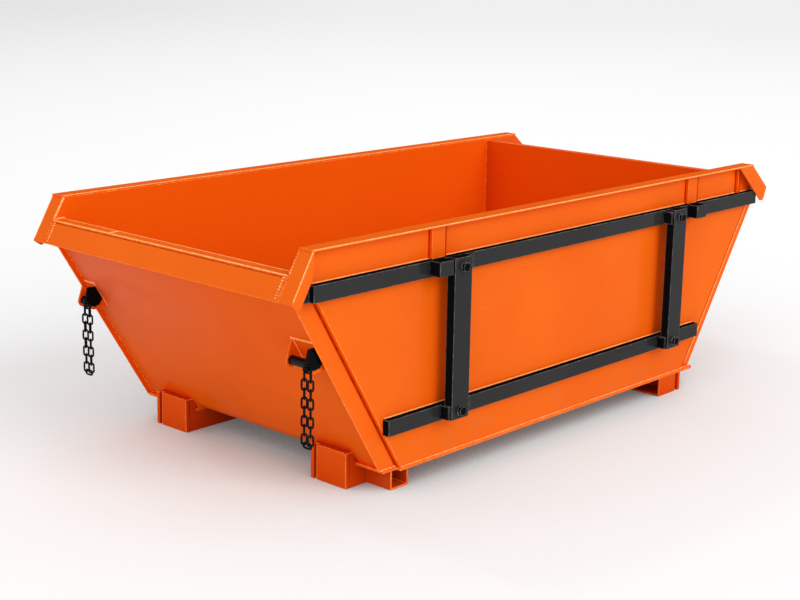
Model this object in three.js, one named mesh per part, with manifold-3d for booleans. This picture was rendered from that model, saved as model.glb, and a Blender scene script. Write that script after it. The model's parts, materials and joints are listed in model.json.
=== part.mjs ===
// A small steel builders skip: a boat-shaped tub of welded sheet on low feet, with a rim and ears,
// two lifting lugs with hanging chains on the left end, and a bolted black rail frame on each side.
// Millimetres, +Z up. X runs along the skip, the near side faces -Y, the ground is at z = 0.

import * as THREE from 'three';
import Module from 'manifold-3d';
import { mergeVertices } from 'three/addons/utils/BufferGeometryUtils.js';

const wasm = await Module();
wasm.setup();

// Gap left between pieces that meet on a slant or in a bore, and the overrun of every cut
const SEAT_GAP = 0.3;
const CUT_OVERRUN = 5;

// Heights of the tub above the ground
const CLEARANCE_UNDER_FLOOR = 68;
const FLOOR_THICKNESS = 8;
const RIM_TOP_Z = 805;
const RIM_THICKNESS = 6;

// Width of the tub: half width to the side sheet's outer face, then what stands out from it
const SIDE_HALF_WIDTH = 550;
const SIDE_SHEET = 4;
const SKIN_STAND_OFF = 18;
const SKIN_SHEET = 3;
const RIM_OVERHANG = 32;
const RIM_WIDTH = 54;

// Floor plate, with a ledge past the sheets that carries the outside weld
const FLOOR_LEFT_X = -828;
const FLOOR_RIGHT_X = 838;
const FLOOR_LEDGE = 8;
const FLOOR_CORNER_CUT = 14;

// Slanted edges of the side sheets: x at the floor's top, and their lean up to the shoulders
const SHOULDER_DROP = 165;
const EDGE_LEFT_LOW_X = -839;
const EDGE_RIGHT_LOW_X = 842;
const leanShare = 0.6153;
const leanRightShare = 0.6684;

// Skin raised from the side sheet: the bare strip left beside each slanted edge, measured along X
const STRIP_LEFT = 75;
const STRIP_RIGHT = 78;

// Ends: the sheets stand inside the side sheets' edges by this much along X
const END_SHEET = 4;
const END_INSET = 22;
const END_BEND_RADIUS = 90;
const END_BEND_STEPS = 8;
const END_RIM_DROP = 73;
const END_RIM_THICKNESS = 6;
const END_RIM_LEFT_WIDTH = 44;
const END_RIM_RIGHT_WIDTH = 38;
const END_RIM_RIGHT_DROP = 137;
const BAND_SHEET = 5;
const BAND_FOOT_RISE = 14;

// Upright inner wall near the right end, with a folded top edge
const BULKHEAD_X = 948;
const BULKHEAD_TOP_DROP = 6;
const BULKHEAD_SHEET = 4;
const BULKHEAD_FLANGE = 22;

// Ears at the rim's four ends: the cap runs from the rim down to the toe. Drops are below the rim's
// top, reaches run outwards from the shoulder of the slanted edge
const EAR_SHEET = 6;
const EAR_LEFT_TOP_REACH = -23;
const EAR_LEFT_TOE_REACH = 57;
const EAR_LEFT_TOE_DROP = 143;
const EAR_LEFT_HEEL_REACH = 26;
const EAR_LEFT_HEEL_DROP = 163;
const EAR_LEFT_NECK_DROP = 80;
const EAR_RIGHT_TOP_REACH = -83;
const EAR_RIGHT_TOE_REACH = 24;
const EAR_RIGHT_TOE_DROP = 97;
const EAR_RIGHT_HEEL_REACH = 4;
const EAR_RIGHT_HEEL_DROP = 144;
const EAR_RIGHT_HEEL_WIDTH = 18;
const EAR_RIGHT_ROOT_REACH = -175;
const EAR_CORNER_RADIUS = 8;

// Flat stiffeners under the side rim
const STIFFENER_WIDTH = 62;
const STIFFENER_DEPTH = 12;
const STIFFENER_LEFT_X = -625;
const STIFFENER_RIGHT_X = 754;
const EAR_RIB_WIDTH = 10;
const EAR_RIB_DEPTH = 12;
const EAR_RIB_REACH = -149;

// Feet under the left end: a hollow block with a narrow side flange beyond a groove
const FOOT_LEFT_X = -872;
const FOOT_LEFT_LENGTH = 320;
const FOOT_LEFT_WIDTH = 125;
const FOOT_NEAR_SET_IN = 107;
const FOOT_FAR_SET_IN = 93;
const FOOT_WALL = 6;
const FOOT_GROOVE = 14;
const FOOT_GROOVE_DEPTH = 12;
const FOOT_FLANGE = 12;
const FOOT_TOP_SHARE = 0.69;

// Cross tube under the left end and cross channel under the right end
const CROSS_TUBE_X = -781;
const CROSS_TUBE_WIDTH = 78;
const CROSS_TUBE_WALL = 6;
const CROSS_TUBE_SET_IN = 5;
const CHANNEL_X = 618;
const CHANNEL_WIDTH = 104;
const CHANNEL_WALL = 6;
const CHANNEL_REACH = 5;
const HEEL_WIDTH = 32;
const HEEL_LENGTH = 130;

// Black rails along the sides: rectangular tube on the skin
const RAIL_HEIGHT = 50;
const RAIL_DEPTH = 25;
const RAIL_WALL = 3;
const UPPER_RAIL_DROP = 128;
const UPPER_RAIL_LEFT_REACH = -33;
const UPPER_RAIL_RIGHT_REACH = -38;
const LOWER_RAIL_Z = 221;
const LOWER_RAIL_LEFT_X = -845;
const LOWER_RAIL_RIGHT_X = 822;
const PACKING_REACH = 35;
const PACKING_FLAT = 6;

// Posts bolted over the rails, each with a saddle at both rails
const POST_WIDTH = 78;
const POST_DEPTH = 30;
const POST_WALL = 3;
const POST_LEFT_X = -573;
const POST_RIGHT_X = 597;
const POST_HEAD_RISE = 4;
const POST_FOOT_LIFT = 7;
const SADDLE_BASE = 12;
const SADDLE_CHEEK = 6;
const SADDLE_HEIGHT = 42;
const SADDLE_TAB_REACH = 46;
const SADDLE_TAB_SHEET = 5;
const SADDLE_CHEEK_REACH = 22;

// Stop blocks on the upper rail beside the posts
const BLOCK_HEIGHT = 46;
const BLOCK_WIDTH = 60;
const BLOCK_LIFT = 4;
const BLOCK_LEFT_X = -649;
const BLOCK_RIGHT_X = 735;

// Bolts through post and saddle into the rail's front wall
const BOLT_DIAMETER = 16;
const BOLT_HEAD_ACROSS = 27;
const BOLT_HEAD_HEIGHT = 10;
const BOLT_WASHER_DIAMETER = 34;
const BOLT_WASHER_THICKNESS = 3;
const BOLT_END = 8;
const BOLT_LOWER_LIFT = 8;
const BOLT_CLEARANCE = 0.5;
const BOLT_SIDES = 12;
const BOLT_HEAD_SIDES = 6;

// Lifting lugs on the left end: two cheeks, a pin across them, and a keeper plate outside
const LUG_NEAR_SET_IN = 68;
const LUG_NEAR_GAP = 88;
const LUG_FAR_GAP = 49;
const CHEEK_SHEET = 6;
const CHEEK_TOP_Z = 516;
const CHEEK_BOTTOM_Z = 434;
const CHEEK_NOSE_RADIUS = 22;
const NOSE_STEPS = 6;
const PIN_DIAMETER = 28;
const PIN_Z = 450;
const PIN_REACH = 42;
const PIN_END = 8;
const PIN_SIDES = 16;
const KEEPER_SHEET = 7;
const KEEPER_TOP_Z = 506;
const KEEPER_TOP_WIDTH = 28;
const KEEPER_SHOULDER_Z = 461;
const KEEPER_NOSE_RADIUS = 11;
const KEEPER_LOW_WIDTH = 44;
const KEEPER_STAND_OFF = 8;

// Chain: welded links, doubled, hung from one hole of the keeper plate
const WIRE_DIAMETER = 6;
const LINK_PITCH = 27;
const LINK_WIDTH = 21;
const LINK_BITE = 1.6;
const CHAIN_SPREAD = 26;
const LINKS_PER_STRAND = 8;
const LINK_STEPS = 10;
const WIRE_SIDES = 6;
const LINK_TURN = Math.PI / 4;
const CHAIN_HOLE_DIAMETER = 12;
const CHAIN_HOLE_Z = 453;
const CHAIN_HOLE_REACH = 32;

// Heights, planes and slants that follow from the sizes above
const floorTop = CLEARANCE_UNDER_FLOOR + FLOOR_THICKNESS;
const rimUnderside = RIM_TOP_Z - RIM_THICKNESS;
const skinFace = SIDE_HALF_WIDTH + SKIN_STAND_OFF;
const rimEdge = skinFace + RIM_OVERHANG;
const innerHalfWidth = SIDE_HALF_WIDTH - SIDE_SHEET;
const shoulder = RIM_TOP_Z - SHOULDER_DROP;
const endRimTop = RIM_TOP_Z - END_RIM_DROP;
const endRimRightTop = RIM_TOP_Z - END_RIM_RIGHT_DROP;
const leftToe = RIM_TOP_Z - EAR_LEFT_TOE_DROP;
const leftHeel = RIM_TOP_Z - EAR_LEFT_HEEL_DROP;
const leftNeck = RIM_TOP_Z - EAR_LEFT_NECK_DROP;
const rightToe = RIM_TOP_Z - EAR_RIGHT_TOE_DROP;
const rightHeel = RIM_TOP_Z - EAR_RIGHT_HEEL_DROP;
const upperRailZ = RIM_TOP_Z - UPPER_RAIL_DROP;
const leftShoulderX = EDGE_LEFT_LOW_X - (shoulder - floorTop) * leanShare;
const rightShoulderX = EDGE_RIGHT_LOW_X + (shoulder - floorTop) * leanRightShare;
const earLeftTopX = leftShoulderX - EAR_LEFT_TOP_REACH;
const earLeftToeX = leftShoulderX - EAR_LEFT_TOE_REACH;
const earLeftHeelX = leftShoulderX - EAR_LEFT_HEEL_REACH;
const earRightTopX = rightShoulderX + EAR_RIGHT_TOP_REACH;
const earRightToeX = rightShoulderX + EAR_RIGHT_TOE_REACH;
const earRightHeelX = rightShoulderX + EAR_RIGHT_HEEL_REACH;
const earRightRootX = rightShoulderX + EAR_RIGHT_ROOT_REACH;
const upperRailLeft = leftShoulderX - UPPER_RAIL_LEFT_REACH;
const upperRailRight = rightShoulderX + UPPER_RAIL_RIGHT_REACH;
const railFront = skinFace + RAIL_DEPTH;
const postBack = railFront + SADDLE_BASE;
const postFront = postBack + POST_DEPTH;
const upperRailTop = upperRailZ + RAIL_HEIGHT / 2;
const postHead = upperRailTop + POST_HEAD_RISE;
const postFoot = LOWER_RAIL_Z - RAIL_HEIGHT / 2 + POST_FOOT_LIFT;
const lowerBoltZ = LOWER_RAIL_Z + BOLT_LOWER_LIFT;
const footWidth = FOOT_LEFT_WIDTH + FOOT_GROOVE + FOOT_FLANGE;
const footNearY = FOOT_NEAR_SET_IN - SIDE_HALF_WIDTH;
const footFarY = SIDE_HALF_WIDTH - FOOT_FAR_SET_IN - footWidth;
const tubeHalfLength = SIDE_HALF_WIDTH - CROSS_TUBE_SET_IN;
const channelHalfLength = skinFace + CHANNEL_REACH;
const bowRadius = (LINK_WIDTH - WIRE_DIAMETER) / 2;
const linkStraight = LINK_PITCH - LINK_BITE + WIRE_DIAMETER - 2 * bowRadius;

// A slanted line in the XZ plane: at(z) gives its x
function slant(x0, z0, x1, z1) {
  const run = (x1 - x0) / (z1 - z0);
  return {
    run,
    stretch: Math.hypot(1, run),
    at: (z) => x0 + (z - z0) * run,
  };
}

const leftEdge = slant(EDGE_LEFT_LOW_X, floorTop, leftShoulderX, shoulder);
const rightEdge = slant(EDGE_RIGHT_LOW_X, floorTop, rightShoulderX, shoulder);
const leftCap = slant(earLeftTopX, rimUnderside, earLeftToeX, leftToe);
const rightCap = slant(earRightTopX, rimUnderside, earRightToeX, rightToe);
const leftEndFace = (z) => leftEdge.at(z) + END_INSET;
const rightEndFace = (z) => rightEdge.at(z) - END_INSET;
const leftEndSheet = END_SHEET * leftEdge.stretch;
const rightEndSheet = END_SHEET * rightEdge.stretch;

// Axes that stand an extrusion up: its outline lies in the first two, its depth runs along the third
const UPRIGHT = [new THREE.Vector3(1, 0, 0), new THREE.Vector3(0, 0, 1), new THREE.Vector3(0, -1, 0)];
const ALONG_X = [new THREE.Vector3(0, 1, 0), new THREE.Vector3(0, 0, 1), new THREE.Vector3(1, 0, 0)];

function shapeOf(points) {
  return new THREE.Shape(points.map(([a, b]) => new THREE.Vector2(a, b)));
}

function prism(points, depth, axes, holes = []) {
  const shape = shapeOf(points);
  holes.forEach((hole) => shape.holes.push(shapeOf(hole)));
  const geometry = new THREE.ExtrudeGeometry(shape, { depth, bevelEnabled: false });
  if (axes) geometry.applyMatrix4(new THREE.Matrix4().makeBasis(...axes));
  return geometry;
}

// Plate with its outline in x and z, its middle plane on y = 0
function uprightPlate(points, thickness, holes) {
  return prism(points, thickness, UPRIGHT, holes).translate(0, thickness / 2, 0);
}

// Bar with its section in y and z, starting at x = 0
function barAlongX(section, length) {
  return prism(section, length, ALONG_X);
}

function rectangle(x0, x1, y0, y1) {
  return [[x0, y0], [x1, y0], [x1, y1], [x0, y1]];
}

function box(x0, x1, y0, y1, z0, z1) {
  const geometry = new THREE.BoxGeometry(x1 - x0, y1 - y0, z1 - z0);
  return geometry.translate((x0 + x1) / 2, (y0 + y1) / 2, (z0 + z1) / 2);
}

// Round bar along Y, centred on the origin
function barAlongY(diameter, length, sides) {
  const geometry = new THREE.CylinderGeometry(diameter / 2, diameter / 2, length, sides);
  return geometry.rotateY(Math.PI / sides);
}

function circle(x, z, radius, sides) {
  const step = (2 * Math.PI) / sides;
  return Array.from({ length: sides }, (_, i) => [
    x + radius * Math.cos((i + 0.5) * step),
    z + radius * Math.sin((i + 0.5) * step),
  ]);
}

// Replaces each corner that has a radius by a short chain of points on its arc
function roundCorners(points, radii, steps) {
  return points.flatMap((corner, i) => {
    const radius = radii[i];
    if (!radius) return [corner];
    const here = new THREE.Vector2(...corner);
    const before = new THREE.Vector2(...points.at(i - 1)).sub(here).normalize();
    const after = new THREE.Vector2(...points[(i + 1) % points.length]).sub(here).normalize();
    const half = Math.acos(before.dot(after)) / 2;
    const reach = radius / Math.tan(half);
    const start = here.clone().addScaledVector(before, reach);
    const end = here.clone().addScaledVector(after, reach);
    const curve = new THREE.QuadraticBezierCurve(start, here, end);
    return curve.getPoints(steps).map((p) => [p.x, p.y]);
  });
}

function solidOf(geometry) {
  const bare = geometry.clone();
  Object.keys(bare.attributes).filter((key) => key !== 'position').forEach((key) => bare.deleteAttribute(key));
  const merged = mergeVertices(bare);
  const mesh = new wasm.Mesh({
    numProp: 3,
    vertProperties: new Float32Array(merged.attributes.position.array),
    triVerts: new Uint32Array(merged.index.array),
  });
  return new wasm.Manifold(mesh);
}

function geometryOf(solid) {
  const mesh = solid.getMesh();
  const geometry = new THREE.BufferGeometry();
  geometry.setAttribute('position', new THREE.BufferAttribute(mesh.vertProperties, mesh.numProp));
  geometry.setIndex(new THREE.BufferAttribute(mesh.triVerts, 1));
  return geometry;
}

function join(...geometries) {
  return geometryOf(geometries.map(solidOf).reduce((whole, piece) => whole.add(piece)));
}

function cut(geometry, ...tools) {
  return geometryOf(tools.map(solidOf).reduce((rest, tool) => rest.subtract(tool), solidOf(geometry)));
}

function common(first, second) {
  return geometryOf(solidOf(first).intersect(solidOf(second)));
}

const skip = new THREE.Group();

const finishes = {
  orange: { color: 0xf0621c, roughness: 0.38, metalness: 0.0 },
  black: { color: 0x2a2b2c, roughness: 0.5, metalness: 0.1 },
  chain: { color: 0x161616, roughness: 0.45, metalness: 0.6 },
};

function place(name, finish, geometry, x = 0, y = 0, z = 0, parent = skip) {
  const flat = geometry.index ? geometry.toNonIndexed() : geometry;
  flat.computeVertexNormals();
  const mesh = new THREE.Mesh(flat, new THREE.MeshStandardMaterial(finishes[finish]));
  mesh.name = name;
  mesh.position.set(x, y, z);
  parent.add(mesh);
  return mesh;
}

const sides = [
  { side: 'near', sign: -1, lugGap: LUG_NEAR_GAP, lugCentre: LUG_NEAR_SET_IN - SIDE_HALF_WIDTH },
  { side: 'far', sign: 1, lugGap: LUG_FAR_GAP, lugCentre: SIDE_HALF_WIDTH - LUG_FAR_GAP / 2 },
];

// Round bend at the foot of the left end sheet, between the feet: a hollow quarter with the given radius
function endBend(radius) {
  const along = new THREE.Vector2(leftEdge.run, 1).normalize();
  const halfTurn = (Math.PI / 2 - Math.asin(-along.x)) / 2;
  const tangent = END_BEND_RADIUS * Math.tan(halfTurn);
  const centreX = leftEndFace(CLEARANCE_UNDER_FLOOR) + tangent;
  const centreZ = CLEARANCE_UNDER_FLOOR + END_BEND_RADIUS;
  return Array.from({ length: END_BEND_STEPS + 1 }, (_, i) => {
    const angle = -Math.PI / 2 - 2 * halfTurn * (1 - i / END_BEND_STEPS);
    return [centreX + radius * Math.cos(angle), centreZ + radius * Math.sin(angle)];
  });
}

// Floor plate: its ledge follows the step between the left bare strips and the raised skins, and it stops
// short of the bend in the left end sheet
function buildFloor() {
  const [bendEnd] = endBend(END_BEND_RADIUS).at(-1);
  const stripEdge = SIDE_HALF_WIDTH + FLOOR_LEDGE;
  const skinEdge = skinFace + FLOOR_LEDGE;
  const stepLeft = leftEdge.at(floorTop) + STRIP_LEFT - FLOOR_LEDGE;
  const half = [
    [FLOOR_LEFT_X, stripEdge],
    [stepLeft, stripEdge],
    [stepLeft, skinEdge],
    [FLOOR_RIGHT_X - FLOOR_CORNER_CUT, skinEdge],
    [FLOOR_RIGHT_X, skinEdge - FLOOR_CORNER_CUT],
  ];
  const notch = [
    [FLOOR_LEFT_X, footNearY + footWidth],
    [bendEnd + SEAT_GAP, footNearY + footWidth],
    [bendEnd + SEAT_GAP, footFarY],
    [FLOOR_LEFT_X, footFarY],
  ];
  const outline = [...half, ...half.map(([x, y]) => [x, -y]).reverse(), ...notch];
  const plate = prism(outline, FLOOR_THICKNESS);
  place('floor_plate', 'orange', plate, 0, 0, CLEARANCE_UNDER_FLOOR);
}

// Side sheets: flat, cut to the tub's outline under the rim and the ear caps
function buildSideSheets() {
  const capRoomLeft = EAR_SHEET * leftCap.stretch + SEAT_GAP;
  const capRoomRight = EAR_SHEET * rightCap.stretch + SEAT_GAP;
  const outline = [
    [leftEdge.at(floorTop), floorTop],
    [rightEdge.at(floorTop), floorTop],
    [rightEdge.at(shoulder), shoulder],
    [rightCap.at(rightToe) - capRoomRight, rightToe],
    [rightCap.at(rimUnderside) - capRoomRight, rimUnderside],
    [leftCap.at(rimUnderside) + capRoomLeft, rimUnderside],
    [leftCap.at(leftToe) + capRoomLeft, leftToe],
    [leftEdge.at(shoulder), shoulder],
  ];
  const middle = SIDE_HALF_WIDTH - SIDE_SHEET / 2;
  for (const { side, sign } of sides) {
    place(`side_panel_${side}`, 'orange', uprightPlate(outline, SIDE_SHEET), 0, sign * middle, 0);
  }
}

// Raised skins: shallow pans whose folded edge stands on the side sheet
function buildSkins() {
  const left = (z) => leftEdge.at(z) + STRIP_LEFT;
  const right = (z) => rightEdge.at(z) - STRIP_RIGHT;
  const topLeft = earLeftTopX + EAR_SHEET * leftCap.stretch + SKIN_STAND_OFF / 2;
  const kneeLeft = floorTop + (left(floorTop) - topLeft) / -leftEdge.run;
  const setBack = right(upperRailZ) - rightCap.at(upperRailZ);
  const outline = [
    [left(floorTop), floorTop],
    [right(floorTop), floorTop],
    [right(upperRailZ), upperRailZ],
    [rightCap.at(rightToe) + setBack / 2, rightToe],
    [rightCap.at(rimUnderside) + setBack / 2, rimUnderside],
    [topLeft, rimUnderside],
    [topLeft, kneeLeft],
  ];
  const centre = outline.reduce(([x, z], p) => [x + p[0] / outline.length, z + p[1] / outline.length], [0, 0]);
  const inner = insetOutline(outline, SKIN_SHEET, centre);
  for (const { side, sign } of sides) {
    const full = uprightPlate(outline, SKIN_STAND_OFF);
    const pocket = uprightPlate(inner, SKIN_STAND_OFF).translate(0, -sign * SKIN_SHEET, 0);
    const middle = SIDE_HALF_WIDTH + SKIN_STAND_OFF / 2;
    place(`side_skin_${side}`, 'orange', cut(full, pocket), 0, sign * middle, 0);
  }
}

// Moves every edge of a convex outline inwards by the same distance
function insetOutline(points, distance, centre) {
  const edges = points.map((p, i) => {
    const q = points[(i + 1) % points.length];
    const along = new THREE.Vector2(q[0] - p[0], q[1] - p[1]).normalize();
    const inward = new THREE.Vector2(-along.y, along.x);
    const toCentre = new THREE.Vector2(centre[0] - p[0], centre[1] - p[1]);
    if (inward.dot(toCentre) < 0) inward.negate();
    return { point: new THREE.Vector2(...p).addScaledVector(inward, distance), along };
  });
  return edges.map((edge, i) => {
    const last = edges.at(i - 1);
    const gap = edge.point.clone().sub(last.point);
    const t = gap.cross(edge.along) / last.along.cross(edge.along);
    const corner = last.point.clone().addScaledVector(last.along, t);
    return [corner.x, corner.y];
  });
}

// Side rims: flat bars on top of the sheets and skins, from ear to ear
function buildSideRims() {
  const overlap = RIM_THICKNESS / 2;
  for (const { side, sign } of sides) {
    const bar = box(earLeftTopX - overlap, earRightTopX + overlap, -RIM_WIDTH / 2, RIM_WIDTH / 2, 0, RIM_THICKNESS);
    place(`side_rim_${side}`, 'orange', bar, 0, sign * (rimEdge - RIM_WIDTH / 2), rimUnderside);
  }
}

// Ears: a slanted cap the width of the rim, with a flange folded down along its outer edge
function buildEars() {
  const capLeft = [
    [leftCap.at(rimUnderside), rimUnderside],
    [leftCap.at(leftToe), leftToe],
    [leftCap.at(leftToe) + EAR_SHEET * leftCap.stretch, leftToe],
    [leftCap.at(rimUnderside) + EAR_SHEET * leftCap.stretch, rimUnderside],
  ];
  const flangeLeft = roundCorners([
    [leftCap.at(rimUnderside), rimUnderside],
    [leftCap.at(leftToe), leftToe],
    [earLeftHeelX, leftHeel],
    [earLeftTopX, leftNeck],
    [earLeftTopX + EAR_SHEET, rimUnderside],
  ], [0, EAR_CORNER_RADIUS, EAR_CORNER_RADIUS, 0, 0], NOSE_STEPS / 2);
  const capRight = [
    [rightCap.at(rimUnderside), rimUnderside],
    [rightCap.at(rightToe), rightToe],
    [rightCap.at(rightToe) - EAR_SHEET * rightCap.stretch, rightToe],
    [rightCap.at(rimUnderside) - EAR_SHEET * rightCap.stretch, rimUnderside],
  ];
  const flangeRight = roundCorners([
    [earRightRootX, rimUnderside],
    [rightCap.at(rimUnderside), rimUnderside],
    [rightCap.at(rightToe), rightToe],
    [earRightHeelX, rightHeel],
    [earRightHeelX - EAR_RIGHT_HEEL_WIDTH, rightHeel],
  ], [0, 0, EAR_CORNER_RADIUS, EAR_CORNER_RADIUS, 0], NOSE_STEPS / 2);
  const ends = [
    { end: 'left', cap: capLeft, flange: flangeLeft },
    { end: 'right', cap: capRight, flange: flangeRight },
  ];
  for (const { side, sign } of sides) {
    for (const { end, cap, flange } of ends) {
      const outward = sign * (RIM_WIDTH - EAR_SHEET) / 2;
      const ear = join(uprightPlate(cap, RIM_WIDTH), uprightPlate(flange, EAR_SHEET).translate(0, outward, 0));
      place(`ear_${end}_${side}`, 'orange', ear, 0, sign * (rimEdge - RIM_WIDTH / 2), 0);
    }
  }
}

// End sheets lean out between the side sheets. The left one ends on the inner face of a folded band,
// which carries the flat rim
function buildEnds() {
  const halfWidth = innerHalfWidth - SEAT_GAP;
  const leftTop = endRimTop - END_RIM_THICKNESS;
  const thick = BAND_SHEET * leftCap.stretch;
  const overrun = leftCap.at(leftTop) + thick - leftEndFace(leftTop) + SEAT_GAP;
  const meetZ = leftTop - overrun / (leftCap.run - leftEdge.run);
  const leftSheet = [
    [leftEndFace(floorTop), floorTop],
    [leftEndFace(floorTop) + leftEndSheet, floorTop],
    [leftEndFace(meetZ) + leftEndSheet, meetZ],
    [leftEndFace(meetZ), meetZ],
  ];
  const bentSheet = [
    [leftEndFace(meetZ), meetZ],
    ...endBend(END_BEND_RADIUS),
    ...endBend(END_BEND_RADIUS - END_SHEET).reverse(),
    [leftEndFace(meetZ) + leftEndSheet, meetZ],
  ];
  const stretches = [
    { section: leftSheet, from: -halfWidth, to: footNearY + footWidth + SEAT_GAP },
    { section: bentSheet, from: footNearY + footWidth + SEAT_GAP, to: footFarY - SEAT_GAP },
    { section: leftSheet, from: footFarY - SEAT_GAP, to: halfWidth },
  ];
  const leftPlates = stretches.map(({ section, from, to }) => (
    uprightPlate(section, to - from).translate(0, (from + to) / 2, 0)));
  place('end_panel_left', 'orange', join(...leftPlates));
  const rightTop = endRimRightTop - END_RIM_THICKNESS;
  const rightSheet = [
    [rightEndFace(floorTop) - rightEndSheet, floorTop],
    [rightEndFace(floorTop), floorTop],
    [rightEndFace(rightTop), rightTop],
    [rightEndFace(rightTop) - rightEndSheet, rightTop],
  ];
  place('end_panel_right', 'orange', uprightPlate(rightSheet, 2 * halfWidth));

  const rimHalf = rimEdge - RIM_WIDTH - SEAT_GAP;
  const leftRim = box(0, END_RIM_LEFT_WIDTH, -rimHalf, rimHalf, 0, END_RIM_THICKNESS);
  place('end_rim_left', 'orange', leftRim, leftCap.at(leftTop), 0, leftTop);
  const rightRimInner = rightEndFace(rightTop) - rightEndSheet - SKIN_SHEET;
  const rightRim = box(0, END_RIM_RIGHT_WIDTH, -halfWidth, halfWidth, 0, END_RIM_THICKNESS);
  place('end_rim_right', 'orange', rightRim, rightRimInner, 0, rightTop);

  const bandTop = leftTop - SEAT_GAP;
  const foldZ = leftToe;
  const rootZ = foldZ - BAND_FOOT_RISE;
  const band = [
    [leftCap.at(bandTop), bandTop],
    [leftCap.at(foldZ), foldZ],
    [leftEndFace(rootZ) - SEAT_GAP, rootZ],
    [leftEndFace(rootZ + BAND_SHEET) - SEAT_GAP, rootZ + BAND_SHEET],
    [leftCap.at(foldZ + BAND_SHEET) + thick, foldZ + BAND_SHEET],
    [leftCap.at(bandTop) + thick, bandTop],
  ];
  place('end_band_left', 'orange', uprightPlate(band, 2 * rimHalf));
}

// Upright inner wall that closes the load space short of the right end
function buildBulkhead() {
  const foot = (x) => floorTop + (x - rightEndFace(floorTop) + rightEndSheet) / rightEdge.run + SEAT_GAP * 2;
  const back = BULKHEAD_X + BULKHEAD_SHEET;
  const top = rimUnderside - BULKHEAD_TOP_DROP;
  const section = [
    [BULKHEAD_X, foot(back)],
    [back, foot(back)],
    [back, top - BULKHEAD_SHEET],
    [back + BULKHEAD_FLANGE, top - BULKHEAD_SHEET],
    [back + BULKHEAD_FLANGE, top],
    [BULKHEAD_X, top],
  ];
  place('bulkhead', 'orange', uprightPlate(section, 2 * (innerHalfWidth - SEAT_GAP)));
}

// Flat stiffeners and the thin rib at the right ear, between the upper rail and the rim
function buildStiffeners() {
  const bars = [
    { name: 'stiffener_left', x: STIFFENER_LEFT_X, width: STIFFENER_WIDTH, depth: STIFFENER_DEPTH },
    { name: 'stiffener_right', x: STIFFENER_RIGHT_X, width: STIFFENER_WIDTH, depth: STIFFENER_DEPTH },
    { name: 'ear_rib', x: rightShoulderX + EAR_RIB_REACH, width: EAR_RIB_WIDTH, depth: EAR_RIB_DEPTH - SEAT_GAP },
  ];
  const height = rimUnderside - upperRailTop;
  for (const { side, sign } of sides) {
    for (const { name, x, width, depth } of bars) {
      const bar = box(-width / 2, width / 2, -depth / 2, depth / 2, 0, height);
      place(`${name}_${side}`, 'orange', bar, x, sign * (skinFace + depth / 2), upperRailTop);
    }
  }
}

// Left feet: hollow blocks that reach back to the leaning end sheet
function buildLeftFeet() {
  const flangeStart = FOOT_LEFT_WIDTH + FOOT_GROOVE;
  const plan = [
    [FOOT_LEFT_X, 0],
    [FOOT_LEFT_X + FOOT_LEFT_LENGTH, 0],
    [FOOT_LEFT_X + FOOT_LEFT_LENGTH, flangeStart + FOOT_FLANGE],
    [FOOT_LEFT_X, flangeStart + FOOT_FLANGE],
    [FOOT_LEFT_X, flangeStart],
    [FOOT_LEFT_X + FOOT_GROOVE_DEPTH, flangeStart],
    [FOOT_LEFT_X + FOOT_GROOVE_DEPTH, FOOT_LEFT_WIDTH],
    [FOOT_LEFT_X, FOOT_LEFT_WIDTH],
  ];
  const under = (x) => floorTop + (leftEndFace(floorTop) - SEAT_GAP * 2 - x) / -leftEdge.run;
  const shelf = FLOOR_LEFT_X - SEAT_GAP;
  const top = under(FOOT_LEFT_X) * FOOT_TOP_SHARE;
  const hollow = box(
    FOOT_LEFT_X + FOOT_GROOVE_DEPTH + FOOT_WALL, FOOT_LEFT_X + FOOT_LEFT_LENGTH + CUT_OVERRUN,
    FOOT_WALL, footWidth - FOOT_FLANGE,
    FOOT_WALL, CLEARANCE_UNDER_FLOOR - FOOT_WALL,
  );
  const profile = [
    [FOOT_LEFT_X, 0],
    [FOOT_LEFT_X + FOOT_LEFT_LENGTH, 0],
    [FOOT_LEFT_X + FOOT_LEFT_LENGTH, CLEARANCE_UNDER_FLOOR],
    [shelf, CLEARANCE_UNDER_FLOOR],
    [shelf, under(shelf)],
    [leftEndFace(top) - SEAT_GAP * 2, top],
    [FOOT_LEFT_X, top],
  ];
  const upright = uprightPlate(profile, footWidth).translate(0, footWidth / 2, 0);
  const foot = cut(common(prism(plan, top), upright), hollow);
  place('foot_left_near', 'orange', foot, 0, footNearY, 0);
  place('foot_left_far', 'orange', foot, 0, footFarY, 0);
}

// Left cross tube: a short square tube outside each foot
function buildCrossTube() {
  const height = CLEARANCE_UNDER_FLOOR;
  const outer = rectangle(0, CROSS_TUBE_WIDTH, 0, height);
  const bore = rectangle(CROSS_TUBE_WALL, CROSS_TUBE_WIDTH - CROSS_TUBE_WALL, CROSS_TUBE_WALL, height - CROSS_TUBE_WALL);
  const lengths = [
    { name: 'near', from: -tubeHalfLength, to: footNearY },
    { name: 'far', from: footFarY + footWidth, to: tubeHalfLength },
  ];
  for (const { name, from, to } of lengths) {
    place(`cross_tube_${name}`, 'orange', uprightPlate(outer, to - from, [bore]), CROSS_TUBE_X, (from + to) / 2, 0);
  }
}

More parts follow.
